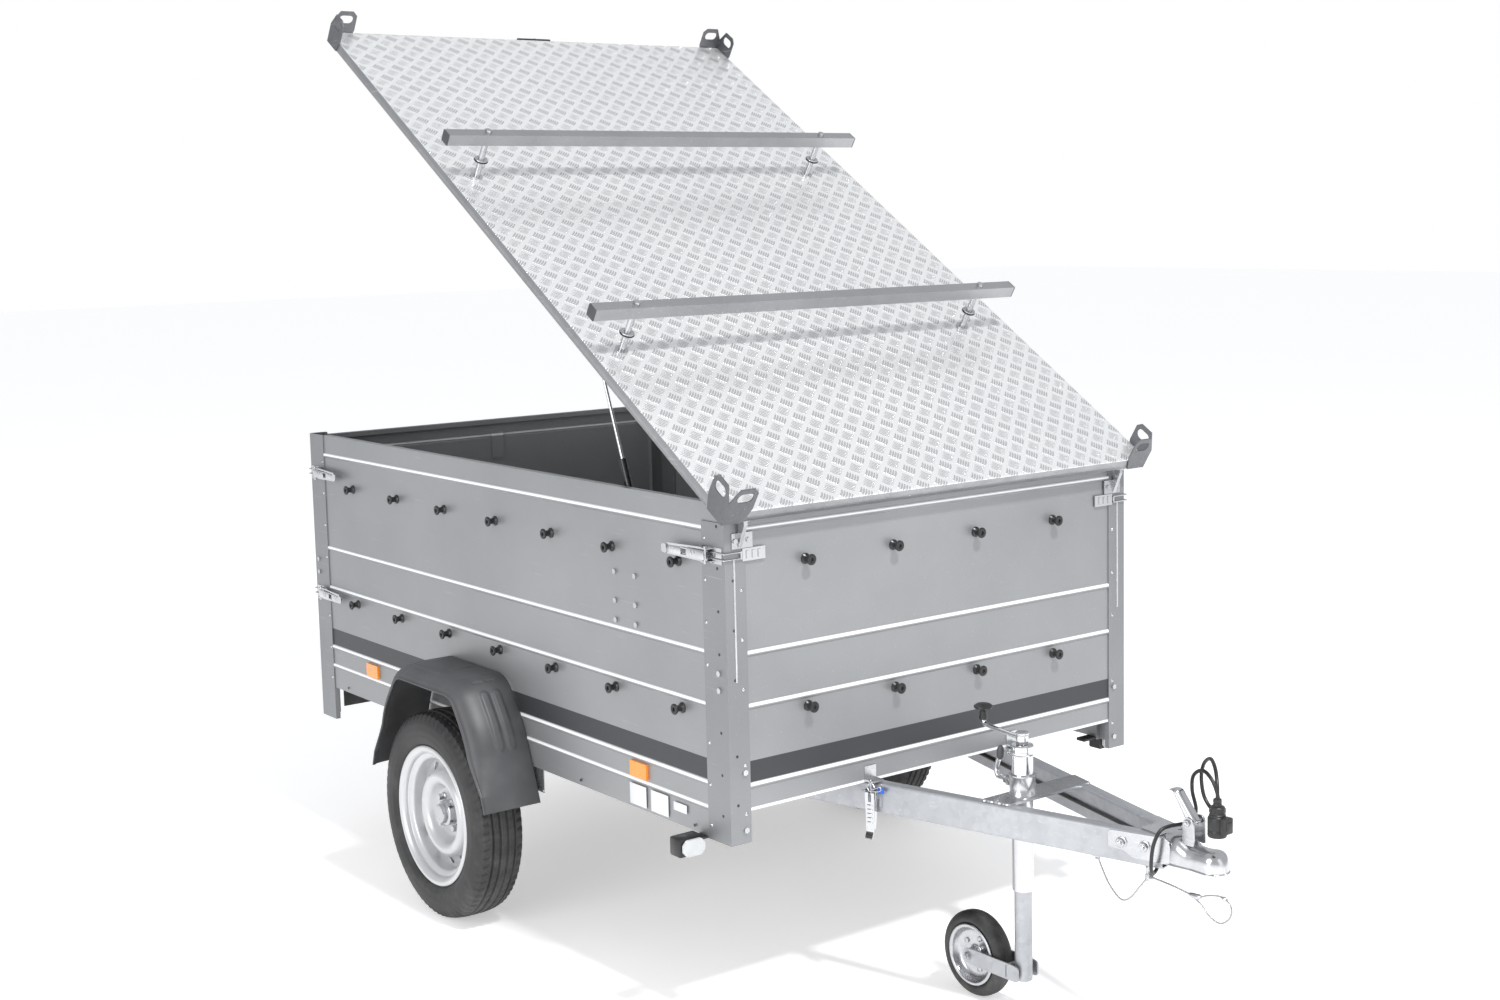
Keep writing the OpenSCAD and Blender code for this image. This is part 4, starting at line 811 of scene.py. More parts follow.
def plywood(name):
    """Brown film-faced board: a fine wire-mesh print on a clouded brown."""
    f = Finish(name, 0.0, 0.5)
    c = f.use(CLOUDS, Broad=4.0, Fine=300.0)
    check = f.tree.nodes.new("ShaderNodeTexChecker")
    check.inputs["Scale"].default_value = 220.0
    f.tree.links.new(f.vector, check.inputs["Vector"])
    base = f.mix(c["Tone"], (0.075, 0.045, 0.028), (0.115, 0.072, 0.045))
    f.colour(f.mix(sums(f.tree, "MULTIPLY", check.outputs["Fac"], 0.3), base, (0.05, 0.03, 0.02)))
    f.rough(c["Speckle"], 0.4, 0.6).bump(check.outputs["Fac"], 0.3, 0.0004)
    return f.mat


board = plywood("board")
floor_pale = moulded("floor_pale", (0.86, 0.86, 0.86), (0.84, 0.84, 0.84), (0.75, 0.85), 60.0,
                     0.02, 0.0)
glow = next(n for n in floor_pale.node_tree.nodes if n.type == "BSDF_PRINCIPLED")
glow.inputs["Emission Color"].default_value = (1, 1, 1, 1)
glow.inputs["Emission Strength"].default_value = 0.42
print("finishes", len(bpy.data.materials))

# %% Floor
floor_mesh = bpy.data.meshes.new("floor")
reach = np.array([[-1, -1, 0], [1, -1, 0], [1, 1, 0], [-1, 1, 0]]) * 40.0
floor_mesh.from_pydata((reach - [0, 0, 0.0005]).tolist(), [], [[0, 1, 2, 3]])
floor_mesh.materials.append(floor_pale)
floor = bpy.data.objects.new("floor", floor_mesh)
scene.collection.objects.link(floor)
floor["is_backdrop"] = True

# %% [markdown]
# ## Cords
# Two free cords hang at the nose: the black electric cord, wound twice beside the release
# handle before it reaches its plug, and the thin steel safety rope with its eye. Their
# routes are the drawing's own points, joined by a smooth curve. The harness inside the
# left arm is held all the way.

# %% Routes
CORD = [[1712, 2, 436], [1722, -12, 424], [1738, -44, 422], [1751, -64, 446],
        [1758, -66, 490], [1762, -50, 520], [1766, -24, 527], [1770, 8, 526],
        [1776, 36, 528], [1776, 47, 552], [1768, 44, 590], [1778, 36, 626],
        [1806, 32, 644], [1838, 24, 632], [1854, 24, 600], [1844, 38, 566],
        [1816, 52, 558], [1788, 58, 580], [1784, 54, 622], [1800, 44, 656],
        [1834, 24, 676], [1868, -2, 668], [1892, -24, 644], [1898, -30, 616]]
ROPE = [[1600, -64, 430], [1608, -58, 402], [1622, -50, 368], [1646, -42, 342],
        [1668, -36, 350], [1688, -28, 378], [1706, -20, 400], [1740, -28, 405],
        [1790, -38, 407], [1850, -38, 401], [1884, -38, 412], [1916, -36, 416],
        [1938, -34, 400], [1934, -34, 376], [1912, -36, 360], [1886, -38, 368],
        [1862, -38, 388], [1846, -38, 396]]
ARM_TURN = math.radians(14.8)
NOSE_X, NOSE_HALF = 1755.0, 24.0
ARM_HALF = 17 / math.cos(ARM_TURN)


def arm_mid(x):
    """Distance of an arm's middle line from the centreline, at a place along the trailer."""
    return NOSE_HALF + (NOSE_X - x) * math.tan(ARM_TURN)


HARNESS = [[x, arm_mid(x) - ARM_HALF - 4.1, 466] for x in (0, 300, 800, 1300, 1600)]
HARNESS += [[1680, 14, 452], [1712, 2, 436]]


def route_length(path):
    """The sum of the steps along a path, in metres."""
    return float(np.linalg.norm(np.diff(to_frame(path), axis=0), axis=1).sum())


print("cord", round(route_length(smooth_path(CORD, 8)), 3), "m, rope",
      round(route_length(smooth_path(ROPE, 8)), 3), "m")

# %% Electric cord, its plug and the harness
cord_line = smooth_path(CORD, 6)
cord = make("electric_cord_run", [sweep(cord_line, circle(4.0, 12))], cord_rubber, "chassis",
            replaces=["electric_cord"], sharp=60)
make("wiring_harness_run", [sweep(smooth_path(HARNESS, 6), circle(4.0, 10))], cord_rubber,
     "chassis", replaces=["wiring_harness"], sharp=60)


def plug_parts():
    """The plug hangs nose down: a ribbed gland, a stepped body, a flap and its hinge."""
    end = np.array(CORD[-1], float)
    gland = [(5, 2), (8.5, 0), (9, -6), (8, -8), (9, -10), (9, -14), (14, -15), (15.5, -17)]
    body = [(15.5, -30), (17, -32), (17, -35), (19, -37), (20, -40), (20, -62), (19.5, -63),
            (20, -64), (20, -75), (18.5, -78), (14, -78), (13.5, -72)]
    parts = [lathe(capped([(r, z) for r, z in gland + body]), 40, end)]
    parts.append(block(end + [15, -13, -68], end + [31, 13, -34], 3))
    parts.append(block(end + [29, -9, -60], end + [33, 9, -42], 1.5))
    for t in np.linspace(0, 2 * np.pi, 10, endpoint=False):
        c = end + np.array([15.2 * math.cos(t), 15.2 * math.sin(t), 0])
        parts.append(block(c + [-1.4, -1.4, -29], c + [1.4, 1.4, -18], 0.8))
    return parts


plug = make("plug", plug_parts(), moulded("plug_plastic", (0.022, 0.022, 0.023),
            (0.013, 0.013, 0.014), (0.35, 0.5), 1100.0, 0.15, 0.08), "chassis",
            replaces=["cord_plug"])
print("cord, harness and plug made")

# %% [markdown]
# The safety rope is twisted wire. It is a plain tube, and the material draws the strands
# as slanting stripes, in colour and bump, along the tube's own UV map.

# %% Safety rope
def rope_finish():
    """Twisted strands: stripes of sin(37.7 u + 900 v) on the UV map, as bump and as painted shade
    in the grooves between strands.
    """
    f = Finish("rope_strands", 0.9, 0.35)
    uv = f.tree.nodes.new("ShaderNodeUVMap")
    uv.uv_map = "along"
    s = f.tree.nodes.new("ShaderNodeSeparateXYZ")
    f.tree.links.new(uv.outputs[0], s.inputs[0])
    lay = sums(f.tree, "SINE", sums(f.tree, "ADD", sums(f.tree, "MULTIPLY", s.outputs[0], 37.7),
                                    sums(f.tree, "MULTIPLY", s.outputs[1], 900.0)))
    tone = remap(f.tree, lay, -1, 1)
    c = f.use(CLOUDS, Broad=30.0)
    wire = f.mix(c["Tone"], (0.62, 0.62, 0.63), (0.75, 0.75, 0.76))
    # painted shade: the colour runs dark between the strands, where the grooves lie
    f.colour(f.mix(tone, (0.20, 0.20, 0.21), wire))
    f.bump(tone, 0.8, 0.0008)
    return f.mat


def add_uv(obj, rows, columns, length):
    """UV map for a capless grid: u round the section and v in metres along the path."""
    mesh = obj.data
    uv = mesh.uv_layers.new(name="along")
    loops = np.empty(len(mesh.loops), int)
    mesh.loops.foreach_get("vertex_index", loops)
    i, j = np.divmod(loops, columns)
    out = np.column_stack([j / columns, i / rows * length])
    uv.data.foreach_set("uv", out.ravel())


rope_line = smooth_path(ROPE, 6)
rope = make("safety_rope_run", [sweep(rope_line, circle(2.0, 10))], rope_finish(), "chassis",
            replaces=["safety_rope"], sharp=60, weld=False)
add_uv(rope, len(rope_line), 10, route_length(rope_line))


def ferrule(path, i, j, r):
    """A crimped sleeve along part of a path, with rounded ends."""
    line = np.array(path[i:j])
    t = np.linspace(-1, 1, len(line))
    return sweep(line, circle(r, 14), scale=np.sqrt(1 - 0.75 * np.abs(t) ** 6))


fittings = [ferrule(rope_line, 52, 57, 6.0), block([1591, -72, 430], [1609, -56, 435], 1.5)]
fittings += hex_nut(6, 5, (1600, -64, 424), dome=True)
fittings += [block([1702, -28, 394], [1705, -12, 435], 1),
             block([1702, -28, 394], [1712, -26, 410], 0.9),
             block([1702, -14, 394], [1712, -12, 410], 0.9), ferrule(rope_line, 66, 70, 5.0)]
rope_ends = make("rope_ends", fittings, plated, "chassis", replaces=["rope_fittings"])
print("rope made")

# %% [markdown]
# ## Drawbar
# The two arms are rectangular tubes with rounded corners that meet at the nose. A plate
# across them carries the jockey wheel's clamp.

# %% Arms and cross plate
ALONG_X = np.array([[0, 0, 1], [1, 0, 0], [0, 1, 0]])      # section (y, z), drawn along +X


def box_section(a0, a1, b0, b1, r, k=5):
    """A rectangle with rounded corners."""
    return rounded([[a0, b0], [a1, b0], [a1, b1], [a0, b1]], r, k)


arm = tube_bar(box_section(-17, 17, 0, 70, 6), box_section(-14, 14, 3, 67, 4),
               1883 / math.cos(ARM_TURN), (NOSE_X, -NOSE_HALF, 435),
               rot_z(math.pi + ARM_TURN) @ ALONG_X)
make("arms", mirrored([arm]), galvanised, "chassis", replaces=["drawbar_arms"])

JX, JY = 1358.0, -50.0


def by_angle(points):
    """Points sorted by their angle about the jockey wheel's tube."""
    away = points - [JX, JY]
    return points[np.argsort(np.arctan2(away[:, 1], away[:, 0]))]


def cross_plate_parts():
    """The plate's outline follows the arms; the socket is a ring with a boss for the screw."""
    b, f = JX - 32, JX + 38
    wb, wf = arm_mid(b) + 8, arm_mid(f) + 8
    outline = rounded([[b, -wb], [f, -wf], [f, wf], [b, wb]], 6)
    hole = circle(24.1, 64) + [JX, JY]
    parts = [ring_plate(by_angle(even(outline, 64)), by_angle(hole), 6, (0, 0, 505))]
    ring = [(24.1, 0), (31, 0), (31, 2), (29, 5), (29, 40), (31, 43), (31, 46), (24.1, 46)]
    parts.append(lathe(ring, 48, (JX, JY, 511), closed=True))
    parts.append(block([JX - 46, JY - 10, 523], [JX - 26, JY + 10, 545], 3))
    parts += hex_nut(11, 8, (JX - 46, JY, 534), rot_y(-math.pi / 2))
    # weld beads where the plate meets the arms
    for s in (-1, 1):
        line = [[x, s * (arm_mid(x) + ARM_HALF - 10 + 1.2 * math.sin(x)), 508]
                for x in np.linspace(b + 4, f - 4, 24)]
        parts.append(sweep(line, circle(3.4, 8)))
    return parts


make("jockey_plate", cross_plate_parts(), plated, "chassis", replaces=["cross_plate"])
print("drawbar made")

# %% [markdown]
# ## Ball coupler
# The head is pressed from sheet: an inverted channel that narrows to a round dome over
# the ball, with its lower edge turned out as a lip. Width and height change along its
# length, and each cross-section is a squarish arch.

# %% Coupler head
BALL_X = 1863.0


def coupler_head(nu=60, nv=40):
    """For each x a half-width w and crown height top; the arch is y = w c |c|^(q-1) and
    z = low + (top - low) |s|^q for the cosine c and sine s of an angle from 0 to 180
    degrees, and the last rows spread outwards as the lip. Round the ball w follows a
    circle, so the nose closes."""
    t = np.linspace(0, 1, nu)
    x = 1742 + (BALL_X + 31.8 - 1742) * np.sin(t * np.pi / 2) ** 1.15
    w = np.interp(x, [1742, 1765, 1795, 1830, 1850, BALL_X], [39, 38.5, 37, 31, 32, 32.5])
    over = np.clip((x - BALL_X) / 31.9, 0, 1)
    w = w * np.sqrt(1 - over ** 2)
    top = np.interp(x, [1742, 1770, 1790, 1815, 1840, 1863], [509, 509, 506, 491, 491, 494])
    top = 455 + (top - 455) * np.sqrt(1 - 0.96 * over ** 3)
    low = 452.0
    a = np.linspace(0, np.pi, nv)
    c, s = np.cos(a), np.sin(a)
    q = 0.62
    y = w[:, None] * np.sign(c) * np.abs(c) ** q
    z = low + (top - low)[:, None] * np.abs(s) ** q
    P = np.stack([x[:, None] + 0 * a, y, z], -1)
    lip = ((3.2, -1.0), (1.2, -0.6))
    ahead, aside = over, np.sqrt(1 - over ** 2)
    right = [P[:, -1] + np.stack([out * ahead, -out * aside, np.full(nu, down)], -1)
             for out, down in lip]
    left = [P[:, 0] + np.stack([out * ahead, out * aside, np.full(nu, down)], -1)
            for out, down in lip]
    return np.concatenate([np.stack(left, 1), P, np.stack(right[::-1], 1)], 1)


head = coupler_head()
make("coupler_head", [grid(head)], plated, "chassis", wall=0.003, sharp=50,
     levels=1)


def coupler_sides():
    """Cheeks on the arms, the ears of the handle with their pin, and the crown plate."""
    out = []
    cheek = rounded([[-120, 22], [-120, 61], [16, 64], [24, 52], [24, 8], [-62, 8], [-84, 22]], 8)
    for s in (1, -1):
        at = (NOSE_X, -NOSE_HALF - ARM_HALF - 0.2, 441)
        p, f = bar(cheek, 3, (0, 0, 0), FACE_RIGHT)
        p = p @ rot_z(ARM_TURN).T + at
        out.append((p * [1, s, 1], f))
    ear = rounded([[1796, 495], [1828, 495], [1826, 545], [1819, 554], [1804, 554], [1797, 545]], 6)
    for y in (-16, 20):
        out.append(bar(ear, 4, (0, y, 0), FACE_RIGHT))
    out += hex_nut(8, 5, (1810, -20, 543), FACE_RIGHT, dome=True)
    out += hex_nut(8, 5, (1810, 20, 543), FACE_LEFT)
    out.append(lathe(capped([(5, -20), (5, 20)]), 16, (1810, 0, 543), FACE_RIGHT))
    crown = rounded([[1690, -30], [1752, -37], [1752, 37], [1690, 30]], 6)
    out.append(bar(crown, 3, (0, 0, 505.3)))
    return out


make("coupler_sides", coupler_sides(), plated, "chassis", replaces=["coupler_body"],
     bevel=0.0008)
print("coupler head", head.shape)


# %% Release handle and coupler bolts
def handle_parts(n=26, m=14):
    """A pressed channel, open at the back: for each place along the lever a width and
    side height, and the section is an arch. The free end curls back over a quarter."""
    t = np.linspace(0, 1, n)
    along = -8 + 96 * t
    half = np.interp(t, [0, 0.15, 0.8, 1], [11, 13, 12, 8])
    deep = np.interp(t, [0, 0.1, 0.75, 1], [17, 20, 14, 8])
    curl = np.clip((t - 0.78) / 0.22, 0, 1)
    a = np.linspace(0, np.pi, m)
    c, s = np.cos(a), np.sin(a)
    y = half[:, None] * np.sign(c) * np.abs(c) ** 0.5
    z = -12 + deep[:, None] * (1 - np.abs(s) ** 0.5)
    x = along[:, None] - 6 * curl[:, None] ** 2 + 0 * a
    z = z + 17 * curl[:, None] ** 1.6
    return np.stack([x, y, z], -1) @ rot_y(math.radians(-130)).T + [1810, 0, 543]


make("release_handle", [grid(handle_parts())], bright, "coupler_handle",
     replaces=["coupler_handle"], wall=0.0028, sharp=60, levels=1)

bolts = []
for x in (NOSE_X - 84, NOSE_X - 32):
    y = arm_mid(x) + ARM_HALF + 3.2
    turn = rot_z(ARM_TURN) @ FACE_RIGHT
    bolts += [lathe(capped([(12.5, 0), (12.5, 1.6), (11.8, 2)]), 24, (x, -y, 479), turn)]
    bolts += hex_nut(11, 8, (x, -y - 1.8, 479), turn, dome=True)
    shank = capped([(6, -(arm_mid(x + 6) - ARM_HALF)), (6, 0)])
    bolts += [lathe(shank, 16, (x, 0, 479), FACE_RIGHT)]
make("coupler_fixings", mirrored(bolts), plated, "chassis", replaces=["coupler_bolts"])
print("handle and bolts made")

# %% [markdown]
# ## Jockey wheel
# A plated outer tube slides in the clamp, with the galvanised leg inside it, a forked
# foot with a small solid-tyred wheel, and a crank with a mushroom knob.

# %% Tubes, clamp lever and crank
JOCKEY = np.array([JX, JY, 0.0])
outer = [(21.1, 290), (24, 290), (24, 601), (25.6, 603), (26.4, 606), (26.4, 609), (25.8, 612),
         (26, 617), (26, 622), (24, 625), (8.1, 625), (8.1, 617), (21.1, 617)]
ear_pin = [sweep(smooth_path([[-24, -8, 606], [-33, -10, 604], [-37, -6, 598], [-34, 0, 594],
                              [-27, 0, 598]], 5), circle(3.2, 10))]
jockey_tube = [lathe(outer, 64, JOCKEY, closed=True)] + [moved(p, JOCKEY) for p in ear_pin]
make("jockey_tube_outer", jockey_tube, bright, "jockey_tube", replaces=["jockey_outer_tube"],
     sharp=25)

leg = [(12.1, 100), (20, 100), (20, 445), (12.1, 445)]
leg_foot = [(0.01, 80), (18.5, 80), (20, 81.5), (20, 100), (0.01, 100)]
fork_side = rounded([[-164, 84], [-164, 116], [-120, 119], [0, 119], [14, 116], [14, 84],
                     [0, 82], [-120, 81]], 9)
fork = [bar(fork_side, 4, (0, y, 0), FACE_RIGHT) for y in (-29, 33)]
fork += [block([-26, -33, 84], [-21, 33, 117], 1.5)]
for y, turn in ((-33, FACE_RIGHT), (33, FACE_LEFT)):
    fork += [lathe(capped([(11, 0), (11, 1.4)]), 24, (-150, y, 100), turn)]
    fork += hex_nut(9, 7, (-150, y, 100), turn, dome=True)
fork += [lathe(capped([(6, -29), (6, 29)]), 20, (-150, 0, 100), FACE_RIGHT)]
fork += [sweep(np.column_stack([21.5 * np.cos(np.linspace(2.2, 4.08, 20)),
                                21.5 * np.sin(np.linspace(2.2, 4.08, 20)),
                                np.full(20, h)]), circle(2.2, 8)) for h in (83, 118)]
foot = [lathe(leg, 64, closed=True), lathe(leg_foot, 64)] + fork
make("jockey_leg_and_fork", [moved(p, JOCKEY) for p in foot], galvanised, "jockey_leg",
     replaces=["jockey_leg"])

crank_line = smooth_path([[8, 0, 640], [-20, 0, 640], [-70, 0, 643], [-105, 0, 646],
                          [-121, 0, 650], [-125, 0, 662], [-125, 0, 676]], 6)
crank = [sweep(crank_line, circle(5.6, 14)),
         lathe(capped([(8, 385), (8, 625.3)]), 24),
         lathe(capped([(13, 625.4), (14, 627), (14, 646), (15.5, 648), (15.5, 651),
                       (13, 653.5)]), 32),
         sweep([[-22, 4, 632], [-10, 2, 632], [12, -2, 634], [26, -5, 635]], circle(1.6, 8))]
make("jockey_crank_rod", [moved(p, JOCKEY) for p in crank], bright, "jockey_crank")
mushroom = [(9, 658), (9.5, 664), (8.5, 672), (9, 678), (13, 681), (20, 684), (22, 687.5),
            (21.5, 690), (16, 694), (8, 696)]
make("jockey_crank_knob", [lathe(capped(mushroom), 48, JOCKEY + [-125, 0, 0])], knob_plastic,
     "jockey_crank", replaces=["jockey_crank"])

CLAMP = np.array([JX - 75, JY, 534.0])
lever_line = smooth_path([[0, 0, 0], [-6, 0, 6], [-8, 0, 20], [-2, 0, 38], [3, 0, 46]], 6)
clamp = [sweep(lever_line, circle(6, 14)),
         lathe(capped([(5, -0.4), (5, 50.5)]), 20, turn=FACE_FRONT),
         lathe(capped([(9, 28), (9, 38)]), 24, turn=FACE_FRONT)]
make("jockey_clamp_rod", [moved(p, CLAMP) for p in clamp], bright, "jockey_clamp")
grip_line = np.array([[3 + 0.4 * k, 0, 42 + 4.0 * k] for k in range(9)])
grip = [sweep(grip_line, circle(8, 16), scale=[0.6, 0.9, 1.0, 1.04, 1.06, 1.05, 0.98, 0.8, 0.4])]
make("jockey_clamp_grip", [moved(p, CLAMP) for p in grip], guard_plastic, "jockey_clamp",
     replaces=["jockey_clamp_lever"])
print("jockey tube, leg, crank and clamp")

# %% Jockey wheel
JW = np.array([JX - 150, JY, 100.0])
tyre_small = rounded([[68, -17], [78, -25], [86, -24.5], [95, -19], [99.5, -9], [99.8, 9],
                      [95, 19], [86, 24.5], [78, 25], [68, 17]], 4, 6)
make("jockey_tyre_solid", [lathe(tyre_small, 96, JW, FACE_RIGHT, closed=True)], tyre_rubber,
     "jockey_wheel", replaces=["jockey_tyre"], sharp=70)
disc = []
for s in (1, -1):
    face = smooth_path([[6.1, 25 * s], [13, 25 * s], [15, 22 * s], [18, 7 * s], [30, 5 * s],
                        [52, 7 * s], [60, 16 * s], [64, 25 * s], [70, 26 * s], [72, 24 * s]], 4)
    back = face[::-1] - [0, 1.6 * s]
    disc.append(lathe(np.concatenate([face, back]), 96, JW, FACE_RIGHT, closed=True))
    for k in range(5):
        a = k * 2 * np.pi / 5
        disc.append(lathe(capped([(6.5, 5.2 * s), (6.2, 8.2 * s), (4.4, 9 * s)]), 14,
                          JW + np.array([38 * math.cos(a), 0, 38 * math.sin(a)]), FACE_RIGHT))
make("jockey_rim_discs", disc, plated, "jockey_wheel", replaces=["jockey_rim"],
     sharp=45)
print("jockey wheel")

# %% [markdown]
# ## Road wheels
# The steel wheel is a dished disc in a rolled barrel. The disc's crest and its ring of
# vent holes are one welded sheet: each vent sits in a twelfth of the ring, and the points
# run from the hole's circle out to the edge of that twelfth. The tyre is a section swept
# round, cut by grooves and by short sipes at the shoulders.

# %% Wheel surfaces
AXLE = np.array([-95.0, 0.0, 272.0])
WHEEL_Y = 704.0
DISH = smooth_path([[33.6, 3.5], [50, 3.5], [64, 4.5], [72, 14], [80, 29], [92, 36.5],
                    [104, 35], [112, 26], [119, 14], [128, 8.5], [138, 5.5], [147.4, 5]], 6)


def dish_height(r):
    """Height of the disc at a radius, from its profile."""
    return np.interp(r, DISH[:, 0], DISH[:, 1])


def vent_ring(r0=113.0, r1=144.0, hole=10.5, k=10, m=6):
    """Twelve sectors from r0 to r1: the outer outline of each is its two arcs and two
    sides, the inner one a circle about radius 128.5 with the same angles from that middle,
    and v carries one to the other."""
    a = np.linspace(-np.pi / 12, np.pi / 12, k + 1)
    s = np.linspace(r0, r1, m + 1)
    low = np.column_stack([r0 * np.cos(a), r0 * np.sin(a)])[:-1]
    side = np.column_stack([s * np.cos(a[-1]), s * np.sin(a[-1])])[:-1]
    top = np.column_stack([r1 * np.cos(a[::-1]), r1 * np.sin(a[::-1])])[:-1]
    back_side = np.column_stack([s[::-1] * np.cos(a[0]), s[::-1] * np.sin(a[0])])[:-1]
    edge = np.concatenate([low, side, top, back_side])
    way = np.arctan2(edge[:, 1], edge[:, 0] - 128.5)
    inner = np.column_stack([128.5 + hole * np.cos(way), hole * 1.1 * np.sin(way)])
    v = np.linspace(0, 1, 5)[None, :, None]
    flat = inner[:, None] * (1 - v) + edge[:, None] * v
    out = []
    for i in range(12):
        t = i * np.pi / 6
        x = flat[..., 0] * math.cos(t) - flat[..., 1] * math.sin(t)
        y = flat[..., 0] * math.sin(t) + flat[..., 1] * math.cos(t)
        out.append(grid(np.stack([x, y, dish_height(np.hypot(x, y))], -1), close_u=True))
    return out


def disc_parts():
    """The disc inside the vents, the vents and the rim of the disc outside them."""
    inside = DISH[DISH[:, 0] < 113]
    inside = np.concatenate([inside, [[113, dish_height(113.0)]]])
    outside = np.array([[144, dish_height(144.0)], [147.4, 5.0], [148, 2.0]])
    return vent_ring() + [lathe(inside, 120), lathe(outside, 120)]


BARREL = [[182, 58], [180, 60], [174, 60], [167.5, 55], [165, 50], [163, 43], [152, 38],
          [148.5, 30], [148.5, -6], [152, -14], [163, -22], [165, -44], [167.5, -55],
          [174, -60], [180, -60], [182, -58]]


def barrel_profile():
    """The barrel's line and the same line 2.4 millimetres inside it, as a closed ring."""
    line = smooth_path(BARREL, 4)
    d = np.gradient(line, axis=0)
    normal = np.column_stack([d[:, 1], -d[:, 0]]) / np.linalg.norm(d, axis=1)[:, None]
    inner = line + normal * 2.4
    return np.concatenate([line, inner[::-1]])


def tyre_surface(n=432):
    """Section rows (r, z) all round, with r lowered in four grooves and, every 5 degrees,
    in sipes on the shoulders: depth = groove(z) or sipe(t) x shoulder(z)."""
    half = [[165.4, 53.5], [176, 54], [183.5, 56], [190, 62.5], [198, 66.5], [208, 68.6],
            [220, 69], [233, 67.8], [246, 64.5], [256, 60], [263, 55.6]]
    crown_z = np.linspace(54, -54, 73)
    crown = np.column_stack([272 - 6.2 * (np.abs(crown_z) / 54) ** 3.2, crown_z])
    half = smooth_path(half, 3)
    line = np.concatenate([half, crown, half[::-1] * [1, -1]])
    r, z = line[:, 0], line[:, 1]
    t = np.linspace(0, 2 * np.pi, n, endpoint=False)[:, None]
    groove = np.zeros_like(z)
    for c, w in ((-31, 2.6), (-11, 3.2), (11, 3.2), (31, 2.6)):
        groove = np.maximum(groove, 1 / (1 + np.exp((np.abs(z - c) - w) * 2.5)))
    on_crown = (r > 256).astype(float)
    cut = 6.0 * groove * on_crown
    phase = (t * 72 / (2 * np.pi) + 0.35 * np.sign(z) + 0.012 * z) % 1.0
    slot = 1 / (1 + np.exp((np.abs(phase - 0.5) - 0.15) * 30))
    shoulder = np.clip((np.abs(z) - 36) / 4, 0, 1) * np.clip((r - 249) / 8, 0, 1)
    phase2 = (t * 72 / (2 * np.pi) + 0.5 + 0.03 * z) % 1.0
    nick = (np.abs(phase2 - 0.5) < 0.09) * (np.abs(np.abs(z) - 21) < 7.5) * on_crown
    depth = np.maximum(np.maximum(cut, 4.2 * slot * shoulder), 1.6 * nick)
    R = r - depth
    ring = (np.abs(z) > 62) & (0.45 * np.cos((r - 214) * 0.35) > 0.3)
    Z = z + 0 * t - np.sign(z) * 0.45 * ring
    return grid(np.stack([R * np.cos(t), R * np.sin(t), Z], -1), close_u=True, close_v=True)


def hub_parts():
    """Bearing cap, hub flange and four bolts with round seats."""
    out = [lathe(capped([(62, -26), (62, 0.5), (33.5, 1), (33.2, 24), (30, 27), (26, 28),
                         (25.6, 38), (24, 40.5), (15, 42)]), 48)]
    for k in range(4):
        a = math.pi / 4 + k * math.pi / 2
        at = np.array([49 * math.cos(a), 49 * math.sin(a), 4.0])
        out.append(lathe(capped([(10.5, 0), (10.5, 2), (8.5, 4.4)]), 20, at))
        out += hex_nut(9.6, 14, at + [0, 0, 3.4], rot_z(0.3))
    return out


dish, tyre_part, hub_part = disc_parts(), tyre_surface(), hub_parts()
barrel = lathe(barrel_profile(), 144, closed=True)
valve = sweep(smooth_path([[156, 0, 26], [158, 0, 38], [160, 0, 52]], 4), circle(3.4, 10),
              scale=[1.3, 1.2, 1.1, 1, 0.9, 0.9, 0.9, 1, 1])
for side, s in (("right", 1), ("left", -1)):
    body = "wheel_" + side

    def wheel(parts):
        """Wheel parts moved to the right stub axle, or mirrored to the left one."""
        out = [moved(p, AXLE + [0, -WHEEL_Y, 0], FACE_RIGHT) for p in parts]
        return [(p * [1, s, 1], f) for p, f in out]

    make("tyre_tread_" + side, wheel([tyre_part]), tyre_rubber, body,
         replaces=["tyre_" + side], sharp=50)
    make("wheel_disc_" + side, wheel(dish), wheel_silver, body,
         wall=0.003, sharp=60)
    make("wheel_barrel_" + side, wheel([barrel]), wheel_silver, body,
         replaces=["rim_" + side], sharp=60)
    make("wheel_hub_" + side, wheel(hub_part), plated, body, replaces=["hub_" + side])
    make("tyre_valve_" + side, wheel([valve]), knob_plastic, body)
print("road wheels, tyre quads", len(tyre_part[1]))

# %% [markdown]
# ## Mudguards
# A moulded shell: its outline in side view runs up the back, over the top and down the
# front, and each cross-section is flat to a shoulder and then rounds down to the outer
# edge. Two long pressed ribs run down the front, and a shallow step crosses the top.

